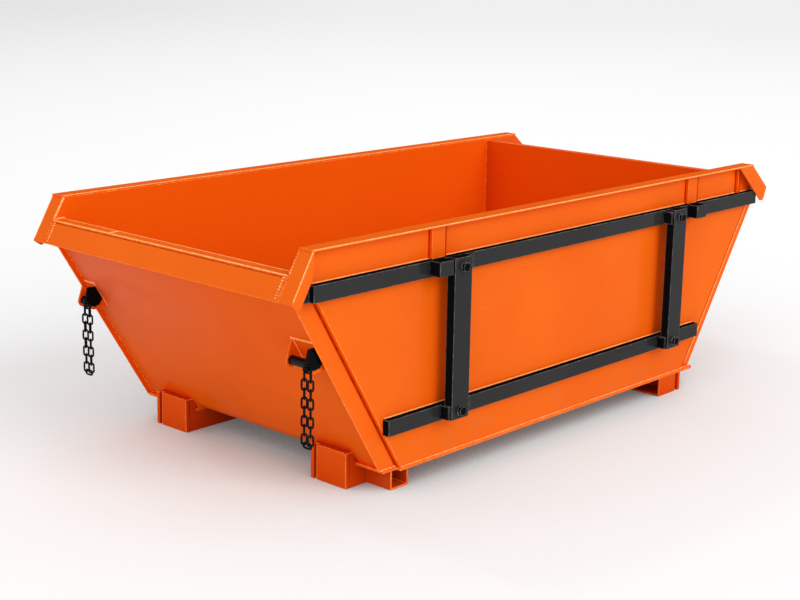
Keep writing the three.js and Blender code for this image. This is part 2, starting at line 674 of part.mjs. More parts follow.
// Right cross channel: open towards the left, closed ends, and a hooked foot at each end's right face
function buildCrossChannel() {
  const height = CLEARANCE_UNDER_FLOOR;
  const beam = box(0, CHANNEL_WIDTH, -channelHalfLength, channelHalfLength, 0, height);
  const innerHalf = channelHalfLength - CHANNEL_WALL;
  const trough = box(-CUT_OVERRUN, CHANNEL_WIDTH - CHANNEL_WALL, -innerHalf, innerHalf, CHANNEL_WALL, height - CHANNEL_WALL);
  const heelOutline = [
    [-CHANNEL_WALL / 2, 0],
    [HEEL_WIDTH, 0],
    [HEEL_WIDTH, HEEL_LENGTH],
    [-CHANNEL_WALL / 2, HEEL_LENGTH],
  ];
  const grooveOutline = rectangle(0, HEEL_WIDTH - FOOT_FLANGE, -CUT_OVERRUN, FOOT_GROOVE_DEPTH);
  const heels = [-1, 1].map((sign) => {
    const facing = (points) => points.map(([x, y]) => [x, sign * (channelHalfLength - y)]);
    const groove = prism(facing(grooveOutline), height + 2 * CUT_OVERRUN).translate(0, 0, -CUT_OVERRUN);
    return cut(prism(facing(heelOutline), height), groove).translate(CHANNEL_WIDTH, 0, 0);
  });
  place('cross_channel_right', 'orange', join(cut(beam, trough), ...heels), CHANNEL_X, 0, 0);
}

// Rails: tube with closed ends on the skin; packing behind the upper one reaches out over the bare strip
function buildRails() {
  const rails = [
    { name: 'upper_rail', z: upperRailZ, left: upperRailLeft, right: upperRailRight, boltZ: upperRailZ },
    { name: 'lower_rail', z: LOWER_RAIL_Z, left: LOWER_RAIL_LEFT_X, right: LOWER_RAIL_RIGHT_X, boltZ: lowerBoltZ },
  ];
  const outer = rectangle(-RAIL_DEPTH / 2, RAIL_DEPTH / 2, -RAIL_HEIGHT / 2, RAIL_HEIGHT / 2);
  const bore = rectangle(
    -RAIL_DEPTH / 2 + RAIL_WALL, RAIL_DEPTH / 2 - RAIL_WALL,
    -RAIL_HEIGHT / 2 + RAIL_WALL, RAIL_HEIGHT / 2 - RAIL_WALL,
  );
  for (const { side, sign } of sides) {
    for (const { name, z, left, right, boltZ } of rails) {
      const length = right - left;
      const bar = barAlongX(outer, length);
      const hollow = barAlongX(bore, length - 2 * RAIL_WALL).translate(RAIL_WALL, 0, 0);
      const whole = name === 'upper_rail' ? join(bar, ...railPacking(sign)) : bar;
      const holes = [POST_LEFT_X, POST_RIGHT_X].map((x) =>
        boltHole(RAIL_DEPTH).translate(x - left, sign * RAIL_DEPTH / 2, boltZ - z));
      const tube = cut(whole, hollow, ...holes);
      place(`${name}_${side}`, 'black', tube, left, sign * (skinFace + RAIL_DEPTH / 2), z);
    }
  }
}

// Packing at the upper rail's left end, and the flat that carries it past the tube's end
function railPacking(sign) {
  const skinLeft = (z) => leftEdge.at(z) + STRIP_LEFT - SEAT_GAP - upperRailLeft;
  const half = RAIL_HEIGHT / 2;
  const outline = [
    [-PACKING_REACH, -half],
    [skinLeft(upperRailZ - half), -half],
    [skinLeft(upperRailZ), 0],
    [0, half],
    [-PACKING_REACH, half],
  ];
  const packing = uprightPlate(outline, SKIN_STAND_OFF).translate(0, -sign * (RAIL_DEPTH + SKIN_STAND_OFF) / 2, 0);
  const flat = uprightPlate(rectangle(-PACKING_REACH, RAIL_WALL, -half, half), PACKING_FLAT);
  return [packing, flat.translate(0, sign * (PACKING_FLAT - RAIL_DEPTH) / 2, 0)];
}

function boltHole(length) {
  return barAlongY(BOLT_DIAMETER + 2 * BOLT_CLEARANCE, length, BOLT_SIDES);
}

// Posts: tube with closed ends across both rails, with a U-shaped saddle welded round its back at each rail
function buildPosts() {
  const height = postHead - postFoot;
  const outer = rectangle(-POST_WIDTH / 2, POST_WIDTH / 2, 0, POST_DEPTH);
  const bore = rectangle(-POST_WIDTH / 2 + POST_WALL, POST_WIDTH / 2 - POST_WALL, POST_WALL, POST_DEPTH - POST_WALL);
  const reach = POST_WIDTH / 2 + SADDLE_CHEEK;
  const saddle = (tab) => [
    [-reach, -SADDLE_BASE],
    [reach + tab, -SADDLE_BASE],
    [reach + tab, SADDLE_TAB_SHEET - SADDLE_BASE],
    [reach, SADDLE_TAB_SHEET - SADDLE_BASE],
    [reach, SADDLE_CHEEK_REACH],
    [-reach, SADDLE_CHEEK_REACH],
  ];
  const ends = [
    { end: 'left', x: POST_LEFT_X, tab: SADDLE_TAB_REACH },
    { end: 'right', x: POST_RIGHT_X, tab: SADDLE_TAB_SHEET },
  ];
  const saddleHigh = upperRailZ - SADDLE_HEIGHT / 2 - postFoot;
  const boltLength = POST_DEPTH + 2 * SADDLE_BASE + CUT_OVERRUN;
  for (const { side, sign } of sides) {
    const facing = (points) => points.map(([x, y]) => [x, sign * y]);
    const hollow = prism(facing(bore), height - 2 * POST_WALL).translate(0, 0, POST_WALL);
    const holes = [upperRailZ, lowerBoltZ].map((z) => boltHole(2 * boltLength).translate(0, 0, z - postFoot));
    for (const { end, x, tab } of ends) {
      const saddles = [saddleHigh, 0].map((z) => prism(facing(saddle(tab)), SADDLE_HEIGHT).translate(0, 0, z));
      const post = cut(join(prism(facing(outer), height), ...saddles), hollow, ...holes);
      place(`post_${end}_${side}`, 'black', post, x, sign * postBack, postFoot);
    }
  }
}

// Stop blocks stand on the upper rail's front face, as deep as the posts
function buildBlocks() {
  const depth = postFront - railFront;
  for (const { side, sign } of sides) {
    for (const [end, x] of [['left', BLOCK_LEFT_X], ['right', BLOCK_RIGHT_X]]) {
      const block = box(-BLOCK_WIDTH / 2, BLOCK_WIDTH / 2, -depth / 2, depth / 2, -BLOCK_HEIGHT / 2, BLOCK_HEIGHT / 2);
      place(`stop_block_${end}_${side}`, 'black', block, x, sign * (railFront + depth / 2), upperRailZ + BLOCK_LIFT);
    }
  }
}

// Bolts: hexagon head and washer on the post's face, shank into the rail
function buildBolts() {
  const shankLength = postFront - railFront + RAIL_WALL + BOLT_END;
  for (const { side, sign } of sides) {
    for (const [end, x] of [['left', POST_LEFT_X], ['right', POST_RIGHT_X]]) {
      for (const [level, z] of [['upper', upperRailZ], ['lower', lowerBoltZ]]) {
        const overlap = BOLT_WASHER_THICKNESS / 2;
        const washer = barAlongY(BOLT_WASHER_DIAMETER, BOLT_WASHER_THICKNESS, BOLT_SIDES)
          .translate(0, sign * BOLT_WASHER_THICKNESS / 2, 0);
        const headDiameter = BOLT_HEAD_ACROSS / Math.cos(Math.PI / BOLT_HEAD_SIDES);
        const head = barAlongY(headDiameter, BOLT_HEAD_HEIGHT + overlap, BOLT_HEAD_SIDES)
          .translate(0, sign * (BOLT_WASHER_THICKNESS + (BOLT_HEAD_HEIGHT - overlap) / 2), 0);
        const shank = barAlongY(BOLT_DIAMETER, shankLength + overlap, BOLT_SIDES)
          .translate(0, -sign * (shankLength - overlap) / 2, 0);
        place(`bolt_${level}_${end}_${side}`, 'black', join(washer, head, shank), x, sign * postFront, z);
      }
    }
  }
}

// Lugs: both stand the same way round, the keeper plate and chain on their -Y side. The near one has both
// cheeks on the end sheet, the far one has its back cheek on the outer face of the side sheet
function buildLugs() {
  const pinX = leftEndFace(PIN_Z) - PIN_REACH;
  const faceAt = (z) => leftEndFace(z) - SEAT_GAP;
  const cheekOutline = [
    [faceAt(CHEEK_TOP_Z), CHEEK_TOP_Z],
    ...lowerNose(pinX, PIN_Z, CHEEK_NOSE_RADIUS),
    [faceAt(CHEEK_BOTTOM_Z), CHEEK_BOTTOM_Z],
  ];
  const pinHole = circle(pinX, PIN_Z, PIN_DIAMETER / 2 + BOLT_CLEARANCE, PIN_SIDES);
  const holeX = pinX - CHAIN_HOLE_REACH;
  const chainHole = circle(holeX, CHAIN_HOLE_Z, CHAIN_HOLE_DIAMETER / 2, BOLT_SIDES);
  const keeperAt = (z) => leftEndFace(z) - KEEPER_STAND_OFF;
  const keeperOutline = [
    [keeperAt(KEEPER_TOP_Z), KEEPER_TOP_Z],
    [keeperAt(KEEPER_TOP_Z) - KEEPER_TOP_WIDTH, KEEPER_TOP_Z],
    ...lowerNose(holeX, CHAIN_HOLE_Z, KEEPER_NOSE_RADIUS),
    [holeX + KEEPER_LOW_WIDTH, CHAIN_HOLE_Z - KEEPER_NOSE_RADIUS],
    [keeperAt(KEEPER_SHOULDER_Z), KEEPER_SHOULDER_Z],
  ];
  for (const { side, lugGap, lugCentre: centreY } of sides) {
    const cheekY = (lugGap + CHEEK_SHEET) / 2;
    const keeperY = lugGap / 2 + CHEEK_SHEET + KEEPER_SHEET / 2;
    const front = -(lugGap / 2 + CHEEK_SHEET);
    const back = lugGap / 2 + CHEEK_SHEET + PIN_END;
    const cheek = uprightPlate(cheekOutline, CHEEK_SHEET, [pinHole]);
    place(`lug_cheek_front_${side}`, 'orange', cheek, 0, centreY - cheekY, 0);
    place(`lug_cheek_back_${side}`, 'orange', cheek.clone(), 0, centreY + cheekY, 0);
    const pin = barAlongY(PIN_DIAMETER, back - front, PIN_SIDES);
    place(`lug_pin_${side}`, 'black', pin, pinX, centreY + (front + back) / 2, PIN_Z);
    const keeper = uprightPlate(keeperOutline, KEEPER_SHEET, [chainHole]);
    place(`keeper_plate_${side}`, 'black', keeper, 0, centreY - keeperY, 0);
    const hinge = new THREE.Group();
    hinge.position.set(holeX, centreY - keeperY, CHAIN_HOLE_Z);
    skip.add(hinge);
    place(`chain_${side}`, 'chain', chainLoop(), 0, 0, 0, hinge);
  }
}

// Quarter of a circle from its left point round to its lowest one
function lowerNose(x, z, radius) {
  return Array.from({ length: NOSE_STEPS + 1 }, (_, i) => {
    const angle = Math.PI * (1 + i / (2 * NOSE_STEPS));
    return [x + radius * Math.cos(angle), z + radius * Math.sin(angle)];
  });
}

// One oval link lying in the XY plane, its long way along Y
function link() {
  const ring = new THREE.TorusGeometry(bowRadius, WIRE_DIAMETER / 2, WIRE_SIDES, LINK_STEPS);
  ring.rotateZ(Math.PI / LINK_STEPS);
  const points = ring.attributes.position;
  for (let i = 0; i < points.count; i += 1) {
    points.setY(i, points.getY(i) + Math.sign(points.getY(i)) * linkStraight / 2);
  }
  return ring;
}

// Doubled chain hung from the origin: a level link through the hole, two strands, a level link below
function chainLoop() {
  const pastStraight = (CHAIN_SPREAD - linkStraight) / 2;
  const wireDrop = Math.sqrt(bowRadius ** 2 - pastStraight ** 2);
  const bearing = WIRE_DIAMETER - LINK_BITE;
  const halfLink = linkStraight / 2 + bowRadius;
  const first = bowRadius + wireDrop - bearing + halfLink;
  const last = first + (LINKS_PER_STRAND - 1) * LINK_PITCH;
  const level = (z) => link().rotateY(Math.PI / 2).translate(0, 0, z);
  const hanging = (turn, y, z) => link().rotateX(Math.PI / 2).rotateZ(turn).translate(0, y, z);
  const links = [level(-bowRadius), level(-(last + halfLink - bearing + wireDrop))];
  for (const way of [-1, 1]) {
    for (let i = 0; i < LINKS_PER_STRAND; i += 1) {
      const turn = LINK_TURN + (i % 2) * Math.PI / 2;
      links.push(hanging(turn, way * CHAIN_SPREAD / 2, -(first + i * LINK_PITCH)));
    }
  }
  return join(...links);
}

buildFloor();
buildSideSheets();
buildSkins();
buildSideRims();
buildEars();
buildEnds();
buildBulkhead();
buildStiffeners();
buildLeftFeet();
buildCrossTube();
buildCrossChannel();
buildRails();
buildPosts();
buildBlocks();
buildBolts();
buildLugs();

export default skip;
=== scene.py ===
"""Looks of a small builders skip: paints, rounded edges, weld beads, chain links, studio and camera."""

import json
import logging
import math
from dataclasses import dataclass, field, replace
from enum import Enum
from typing import Callable, Sequence

import bpy
from mathutils import Matrix, Vector

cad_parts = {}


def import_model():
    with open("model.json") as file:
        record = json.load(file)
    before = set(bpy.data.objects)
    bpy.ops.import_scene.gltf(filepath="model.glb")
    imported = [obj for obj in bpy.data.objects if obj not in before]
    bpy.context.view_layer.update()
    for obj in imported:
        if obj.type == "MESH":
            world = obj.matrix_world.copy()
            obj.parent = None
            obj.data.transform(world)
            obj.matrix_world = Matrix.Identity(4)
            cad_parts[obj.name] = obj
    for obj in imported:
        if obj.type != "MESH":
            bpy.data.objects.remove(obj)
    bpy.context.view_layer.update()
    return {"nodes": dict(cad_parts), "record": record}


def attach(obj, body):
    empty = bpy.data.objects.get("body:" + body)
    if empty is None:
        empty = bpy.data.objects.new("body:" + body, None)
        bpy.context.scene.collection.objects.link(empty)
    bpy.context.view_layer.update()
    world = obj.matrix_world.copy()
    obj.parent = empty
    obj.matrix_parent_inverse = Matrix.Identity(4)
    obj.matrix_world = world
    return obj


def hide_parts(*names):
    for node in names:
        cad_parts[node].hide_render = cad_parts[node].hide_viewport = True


log = logging.getLogger("skip")
MM = 0.001
TUB_BODY = "tub"
Point = tuple[float, float, float]
Colour = tuple[float, float, float]
Band = tuple[float, float]
CHAIN_HOLES = {"chain_near": (-1121.1, -535.5, 453.0), "chain_far": (-1121.1, 491.5, 453.0)}


class Slot(Enum):
    """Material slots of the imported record."""

    ORANGE = "orange_paint"
    BLACK = "black_paint"
    CHAIN = "chain_steel"


class Level:
    """A number that changes over a surface: wraps a socket, so that shader maths reads as maths."""

    def __init__(self, shader: "Shader", socket: bpy.types.NodeSocket) -> None:
        """Wraps a socket of the shader's tree."""
        self.shader = shader
        self.socket = socket

    def _with(self, operation: str, first: object, second: object) -> "Level":
        """Adds one Math node."""
        node = self.shader.node("ShaderNodeMath", {"operation": operation}, {0: first, 1: second})
        return Level(self.shader, node.outputs[0])

    def __add__(self, other: object) -> "Level":
        """Sum."""
        return self._with("ADD", self, other)

    __radd__ = __add__

    def __sub__(self, other: object) -> "Level":
        """Difference."""
        return self._with("SUBTRACT", self, other)

    def __rsub__(self, other: object) -> "Level":
        """Difference, the other way round."""
        return self._with("SUBTRACT", other, self)

    def __mul__(self, other: object) -> "Level":
        """Product."""
        return self._with("MULTIPLY", self, other)

    def size(self) -> "Level":
        """Absolute value."""
        return self._with("ABSOLUTE", self, 0.0)

    def within(self, band: Band) -> "Level":
        """Smooth step from the band's first level to its second."""
        return self.above(*band)

    def above(self, low: float, high: float) -> "Level":
        """Smooth step.

        Args:
            low: the level that gives 0.
            high: the level that gives 1.

        Returns:
            The stepped level.
        """
        settings = {"interpolation_type": "SMOOTHSTEP"}
        node = self.shader.node("ShaderNodeMapRange", settings, {0: self, 1: low, 2: high})
        return Level(self.shader, node.outputs[0])


class Shader:
    """One material's node tree."""

    def __init__(self, name: str) -> None:
        """Makes the material and empties its tree."""
        self.material = bpy.data.materials.new(name)
        self.material.use_nodes = True
        self.tree = self.material.node_tree
        self.tree.nodes.clear()
        self.place = self.node("ShaderNodeTexCoord", {}, {}).outputs["Object"]

    def node(self, kind: str, settings: dict[str, object], sockets: dict[object, object]) -> bpy.types.Node:
        """Adds one node.

        Args:
            kind: the node's type.
            settings: properties that are set first.
            sockets: a value, Level or output socket for each input, by name or number.

        Returns:
            The node.
        """
        made = self.tree.nodes.new(kind)
        for key, value in settings.items():
            setattr(made, key, value)
        for key, value in sockets.items():
            source = value.socket if isinstance(value, Level) else value
            if isinstance(source, bpy.types.NodeSocket):
                self.tree.links.new(source, made.inputs[key])
            else:
                made.inputs[key].default_value = source
        return made

    def stretched(self, scale: Point) -> bpy.types.NodeSocket:
        """Object coordinates scaled along each axis."""
        sockets = {"Vector": self.place, "Scale": scale}
        return self.node("ShaderNodeMapping", {}, sockets).outputs[0]

    def noise(self, scale: float, detail: float = 3.0, place: bpy.types.NodeSocket | None = None) -> Level:
        """Noise level.

        Args:
            scale: features to the metre.
            detail: octaves.
            place: coordinates, or None for the object's own.

        Returns:
            A level round 0.5.
        """
        sockets = {"Vector": place or self.place, "Scale": scale, "Detail": detail}
        return Level(self, self.node("ShaderNodeTexNoise", {}, sockets).outputs[0])

    def height(self) -> Level:
        """Height above the ground, in metres."""
        return Level(self, self.node("ShaderNodeSeparateXYZ", {}, {0: self.place}).outputs[2])

    def crevice(self, reach: float) -> Level:
        """Level that rises in inside corners.

        Args:
            reach: how far from the corner it starts, in metres.

        Returns:
            0 on an open face, more near an inside corner.
        """
        sockets = {"Distance": reach}
        node = self.node("ShaderNodeAmbientOcclusion", {"samples": 4}, sockets)
        return 1.0 - Level(self, node.outputs["AO"])

    def far_from_centre(self) -> Level:
        """Distance from the origin, in metres."""
        node = self.node("ShaderNodeVectorMath", {"operation": "LENGTH"}, {0: self.place})
        return Level(self, node.outputs["Value"])

    def facing(self) -> tuple[Level, Level]:
        """x and y of the surface normal."""
        normal = self.node("ShaderNodeTexCoord", {}, {}).outputs["Normal"]
        split = self.node("ShaderNodeSeparateXYZ", {}, {0: normal})
        return Level(self, split.outputs[0]), Level(self, split.outputs[1])

    def inward(self) -> Level:
        """1 on upright faces that look towards the tub's middle, 0 on those that look away."""
        (x, y), (normal_x, normal_y) = self.across(), self.facing()
        return (0.0 - x * normal_x - y * normal_y).above(0.05, 0.3)

    def across(self) -> tuple[Level, Level]:
        """Object coordinates x and y, in metres."""
        split = self.node("ShaderNodeSeparateXYZ", {}, {0: self.place})
        return Level(self, split.outputs[0]), Level(self, split.outputs[1])

    def mix(self, mask: Level, first: object, second: object) -> bpy.types.NodeSocket:
        """Mixes two colours.

        Args:
            mask: 0 gives the first, 1 the second.
            first: colour or colour socket.
            second: colour or colour socket.

        Returns:
            The mixed colour's socket.
        """
        first = (*first, 1.0) if isinstance(first, tuple) else first
        second = (*second, 1.0) if isinstance(second, tuple) else second
        made = self.node("ShaderNodeMix", {"data_type": "RGBA"}, {0: mask, 6: first, 7: second})
        return made.outputs[2]

    def bump(
        self, relief: Level, depth: float, strength: float, under: bpy.types.NodeSocket | None = None,
    ) -> bpy.types.NodeSocket:
        """Bump from a level.

        Args:
            relief: the height level.
            depth: the height of one unit, in metres.
            strength: how much of it shows.
            under: normal that this one is laid over.

        Returns:
            The normal's socket.
        """
        sockets = {"Height": relief, "Distance": depth, "Strength": strength}
        if under is not None:
            sockets["Normal"] = under
        return self.node("ShaderNodeBump", {}, sockets).outputs[0]

    def paper(self, colour: object, roughness: Level, white: float) -> bpy.types.Material:
        """Adds a matt surface that looks a little whiter than it lights.

        Args:
            colour: its colour socket.
            roughness: its roughness.
            white: share of plain white seen by the camera and in gloss.

        Returns:
            The material.
        """
        path = self.node("ShaderNodeLightPath", {}, {})
        rays = ("Is Camera Ray", "Is Glossy Ray", "Is Transmission Ray")
        seen = [Level(self, path.outputs[name]) for name in rays]
        share = (seen[0] + seen[1] + seen[2]).above(0.0, 1.0) * white
        matt = self.node("ShaderNodeBsdfPrincipled", {}, {"Base Color": colour, "Roughness": roughness})
        glow = self.node("ShaderNodeEmission", {}, {"Strength": 1.0})
        both = self.node("ShaderNodeMixShader", {}, {0: share, 1: matt.outputs[0], 2: glow.outputs[0]})
        self.node("ShaderNodeOutputMaterial", {}, {0: both.outputs[0]})
        return self.material

    def finish(self, **sockets: object) -> bpy.types.Material:
        """Adds the surface shader and the output, and returns the material."""
        named = {key.replace("_", " "): value for key, value in sockets.items()}
        surface = self.node("ShaderNodeBsdfPrincipled", {}, named)
        self.node("ShaderNodeOutputMaterial", {}, {0: surface.outputs[0]})
        return self.material


@dataclass(frozen=True)
class SprayedPaint:
    """Paint sprayed on steel sheet, with a little orange peel, scuffs, dust low down, painted shade in
    corners and on faces inside the tub, where set a painted shade on faces that do not look along y, and
    where set a painted sheen high on the far side.
    """

    name: str
    colour: Colour
    shade: Colour
    scuffed: Colour
    # painted shade: the colour that inside corners turn towards, and where edgewise_share is set, also faces
    # that do not look along y
    painted_shade: Colour
    dust: Colour
    roughness: float
    coat: float
    crevice_share: float = 0.6
    crevice_reach: float = 16 * MM
    scuff_share: float = 0.3
    dust_share: float = 0.16
    peel_scale: float = 420.0
    wave_scale: float = 4.5
    edgewise_share: float = 0.0
    # painted sheen: the paler, greyer colour laid high on the far side, where its share is set
    painted_sheen: Colour = (0.62, 0.15, 0.095)
    painted_sheen_share: float = 0.0
    # painted shade: the redder colour that faces looking into the tub turn towards
    inside: Colour = (0.81, 0.098, 0.0022)
    inside_shade_share: float = 0.0
    drift_scale: float = 2.3
    mottle_scale: float = 38.0
    streak_stretch: Point = (9.0, 9.0, 160.0)
    streak_patch_scale: float = 3.1
    dust_scale: float = 11.0
    dust_height: Band = (0.02, 0.3)
    sheen_side: Band = (-0.35, 0.6)
    sheen_height: Band = (0.15, 0.6)
    crevice_band: Band = (0.12, 0.62)
    edgewise_band: Band = (0.3, 0.7)
    wave_depth: float = 3.0 * MM
    peel_depth: float = 0.25 * MM
    coat_roughness: float = 0.14

    @staticmethod
    def _layer(shader: Shader, mask: Level, share: float, under: object, over: Colour) -> object:
        """Lays a colour over another where the mask says, or leaves the lower one if its share is 0."""
        return shader.mix(mask * share, under, over) if share else under

    def material(self) -> bpy.types.Material:
        """Builds the material."""
        shader = Shader(self.name)
        drift = shader.noise(self.drift_scale, 4.0).above(0.35, 0.68)
        mottle = shader.noise(self.mottle_scale, 5.0)
        fresh = shader.mix(drift * 0.75 + mottle * 0.2, self.colour, self.shade)
        # Painted shade: faces that look into the tub turn towards the redder inside colour.
        body = self._layer(shader, shader.inward(), self.inside_shade_share, fresh, self.inside)
        streaks = shader.noise(1.0, 4.0, shader.stretched(self.streak_stretch)).above(0.66, 0.74)
        scuffs = streaks * shader.noise(self.streak_patch_scale, 2.0).above(0.5, 0.66) * self.scuff_share
        worn = shader.mix(scuffs, body, self.scuffed)
        dust = shader.noise(self.dust_scale, 5.0).above(0.42, 0.75)
        low = (1.0 - shader.height().within(self.dust_height)) * dust
        # Painted sheen: a paler, greyer tone high on the far side, on faces that look out of the tub.
        far_high = shader.across()[1].within(self.sheen_side) * shader.height().within(self.sheen_height)
        sheened = self._layer(shader, far_high * (1.0 - shader.inward()), self.painted_sheen_share, worn, self.painted_sheen)
        dusty = shader.mix(low * self.dust_share, sheened, self.dust)
        # Painted shade: inside corners turn towards the painted shade colour.
        corner = shader.crevice(self.crevice_reach).within(self.crevice_band)
        corner_shaded = shader.mix(corner * self.crevice_share, dusty, self.painted_shade)
        # Painted shade: where edgewise_share is set, faces that do not look along y turn towards the same
        # colour.
        edgewise = (1.0 - shader.facing()[1].size()).within(self.edgewise_band)
        shaded = self._layer(shader, edgewise, self.edgewise_share, corner_shaded, self.painted_shade)
        bare = 1.0 - edgewise if self.edgewise_share else 1.0 - corner * self.crevice_share
        rough = self.roughness + mottle * 0.12 + low * 0.2 + scuffs * 0.5
        waves = shader.bump(shader.noise(self.wave_scale, 1.0), self.wave_depth, 0.25)
        peel = shader.bump(shader.noise(self.peel_scale, 2.0), self.peel_depth, 0.16, waves)
        return shader.finish(
            Base_Color=shaded, Roughness=rough, Normal=peel, Coat_Weight=bare * self.coat,
            Coat_Roughness=self.coat_roughness, Specular_IOR_Level=0.0,
        )


@dataclass(frozen=True)
class ThinPaint:
    """Finish of rounded edges, weld beads and thin lines, its colour mixed in random patches with a second:
    lighter than the body paint as a painted highlight, or dark as a painted shade; most are glossier than the
    body paint.
    """

    name: str
    colour: Colour
    low: Colour
    roughness: float
    coat: float
    grain_scale: float = 600.0
    grain_depth: float = 0.4 * MM
    patch_scale: float = 60.0
    coat_roughness: float = 0.1

    def material(self) -> bpy.types.Material:
        """Builds the material."""
        shader = Shader(self.name)
        patches = shader.noise(self.patch_scale, 4.0)
        body = shader.mix(patches.above(0.36, 0.7), self.low, self.colour)
        grain = shader.bump(shader.noise(self.grain_scale, 3.0), self.grain_depth, 0.3)
        return shader.finish(
            Base_Color=body, Roughness=self.roughness + patches * 0.16, Normal=grain, Coat_Weight=self.coat,
            Coat_Roughness=self.coat_roughness, Specular_IOR_Level=0.0,
        )


@dataclass(frozen=True)
class BlackedSteel:
    """Dark chain steel, rubbed brighter in random patches."""

    name: str
    colour: Colour
    rubbed: Colour
    roughness: float
    coat: float = 0.18
    coat_roughness: float = 0.1
    patch_scale: float = 90.0
    grain_scale: float = 900.0
    grain_depth: float = 0.3 * MM

    def material(self) -> bpy.types.Material:
        """Builds the material."""
        shader = Shader(self.name)
        patches = shader.noise(self.patch_scale, 5.0)
        rub = patches.above(0.56, 0.74)
        colour = shader.mix(rub * 0.5, self.colour, self.rubbed)
        grain = shader.bump(shader.noise(self.grain_scale, 3.0), self.grain_depth, 0.3)
        return shader.finish(
            Base_Color=colour, Metallic=rub * 0.4, Roughness=self.roughness + patches * 0.2,
            Normal=grain, Specular_IOR_Level=0.0, Coat_Weight=self.coat, Coat_Roughness=self.coat_roughness,
        )


# The body paint: its corners and its faces inside the tub take a redder painted shade.
ORANGE = SprayedPaint(
    "orange_paint_sprayed", colour=(0.790, 0.126, 0.0062), shade=(0.745, 0.107, 0.0048),
    scuffed=(0.92, 0.24, 0.04), painted_shade=(0.98, 0.094, 0.0004), dust=(0.42, 0.20, 0.09),
    roughness=0.4, coat=0.13, crevice_share=0.85, crevice_reach=80 * MM, inside_shade_share=0.85,
)
# Copy for parts that stand in shade (bulkhead, feet, cross tubes): a darker, redder painted shade, reaching
# 240 mm from corners.
ORANGE_IN_SHADE = replace(
    ORANGE, name="orange_paint_in_painted_shade", colour=(0.80, 0.098, 0.0035), shade=(0.75, 0.080, 0.0025),
    painted_shade=(0.44, 0.022, 0.001), crevice_share=0.72, crevice_reach=240 * MM, inside=(0.78, 0.074, 0.0014),
)
RIM = replace(ORANGE, name="orange_paint_rims", coat=0.02)
# Paint of the left end sheet: a painted sheen high on its far side and a redder painted shade in its corners.
ORANGE_WITH_SHEEN = replace(
    ORANGE, name="orange_paint_with_painted_sheen", colour=(0.79, 0.113, 0.0045), shade=(0.74, 0.094, 0.0035),
    painted_sheen_share=0.5, painted_shade=(0.92, 0.062, 0.0006),
)
# Black paint: its corners, and its faces that do not look along y, take a darker painted shade.
BLACK = SprayedPaint(
    "black_paint_sprayed", colour=(0.0235, 0.0235, 0.0235), shade=(0.018, 0.018, 0.018),
    scuffed=(0.05, 0.05, 0.052), painted_shade=(0.0025, 0.0026, 0.0028), dust=(0.06, 0.05, 0.04),
    roughness=0.36, coat=0.26, crevice_share=0.8, peel_scale=700.0, edgewise_share=0.9,
)
# Its corners take a painted shade, as do those of the dull copy below.
BLACK_GLOSS = SprayedPaint(
    "black_gloss_steel", colour=(0.0030, 0.0030, 0.0034), shade=(0.0025, 0.0025, 0.003),
    scuffed=(0.03, 0.03, 0.03), painted_shade=(0.001, 0.001, 0.001), dust=(0.02, 0.018, 0.015),
    roughness=0.2, coat=0.4, peel_scale=700.0,
)
BLACK_DULL = replace(BLACK_GLOSS, name="black_dull_steel", coat=0.06)
# The lighter colour of the rounded orange edges is a painted highlight.
EDGE = ThinPaint("orange_paint_edge_highlight", (1.0, 0.27, 0.05), (0.86, 0.145, 0.009), roughness=0.3, coat=0.25)
# A very light finish for fine beads and lines: a painted highlight.
GLEAM = ThinPaint(
    "orange_paint_bead_highlight", (1.0, 0.50, 0.18), (1.0, 0.30, 0.06), roughness=0.2, coat=0.5,
    patch_scale=120.0,
)
# The lighter colour of the rounded black edges: wear and a painted highlight.
BLACK_EDGE_WEAR_AND_HIGHLIGHT = ThinPaint(
    "black_paint_edge_wear_and_highlight", (0.12, 0.12, 0.123), (0.04, 0.04, 0.041), roughness=0.22, coat=0.3,
)
# The light colour of the rounded bolt and nut edges is a painted highlight.
BOLT_EDGE_HIGHLIGHT = ThinPaint(
    "black_gloss_edge_highlight", (0.26, 0.26, 0.265), (0.03, 0.03, 0.03), roughness=0.14, coat=0.9,
)
# Weld beads lighter than the body paint, as a painted highlight, with darker patches at random.
BEAD = ThinPaint(
    "orange_weld_bead", (0.95, 0.22, 0.025), (0.66, 0.080, 0.004), roughness=0.3, coat=0.2,
    patch_scale=150.0,
)
# Dark lines of painted shade, laid where steps, bar edges, folds and the end rim stand in shade.
SHADE_LINE = ThinPaint(
    "orange_painted_shade_line", (0.46, 0.036, 0.0015), (0.32, 0.020, 0.001), roughness=0.8, coat=0.0,
    patch_scale=40.0,
)
BLACK_BEAD = ThinPaint(
    "black_weld_bead", (0.03, 0.03, 0.032), (0.006, 0.006, 0.007), roughness=0.24, coat=0.2,
    patch_scale=150.0,
)
CHAIN_STEEL = BlackedSteel("chain_blacked_steel", (0.003, 0.003, 0.003), (0.03, 0.029, 0.027), roughness=0.3)


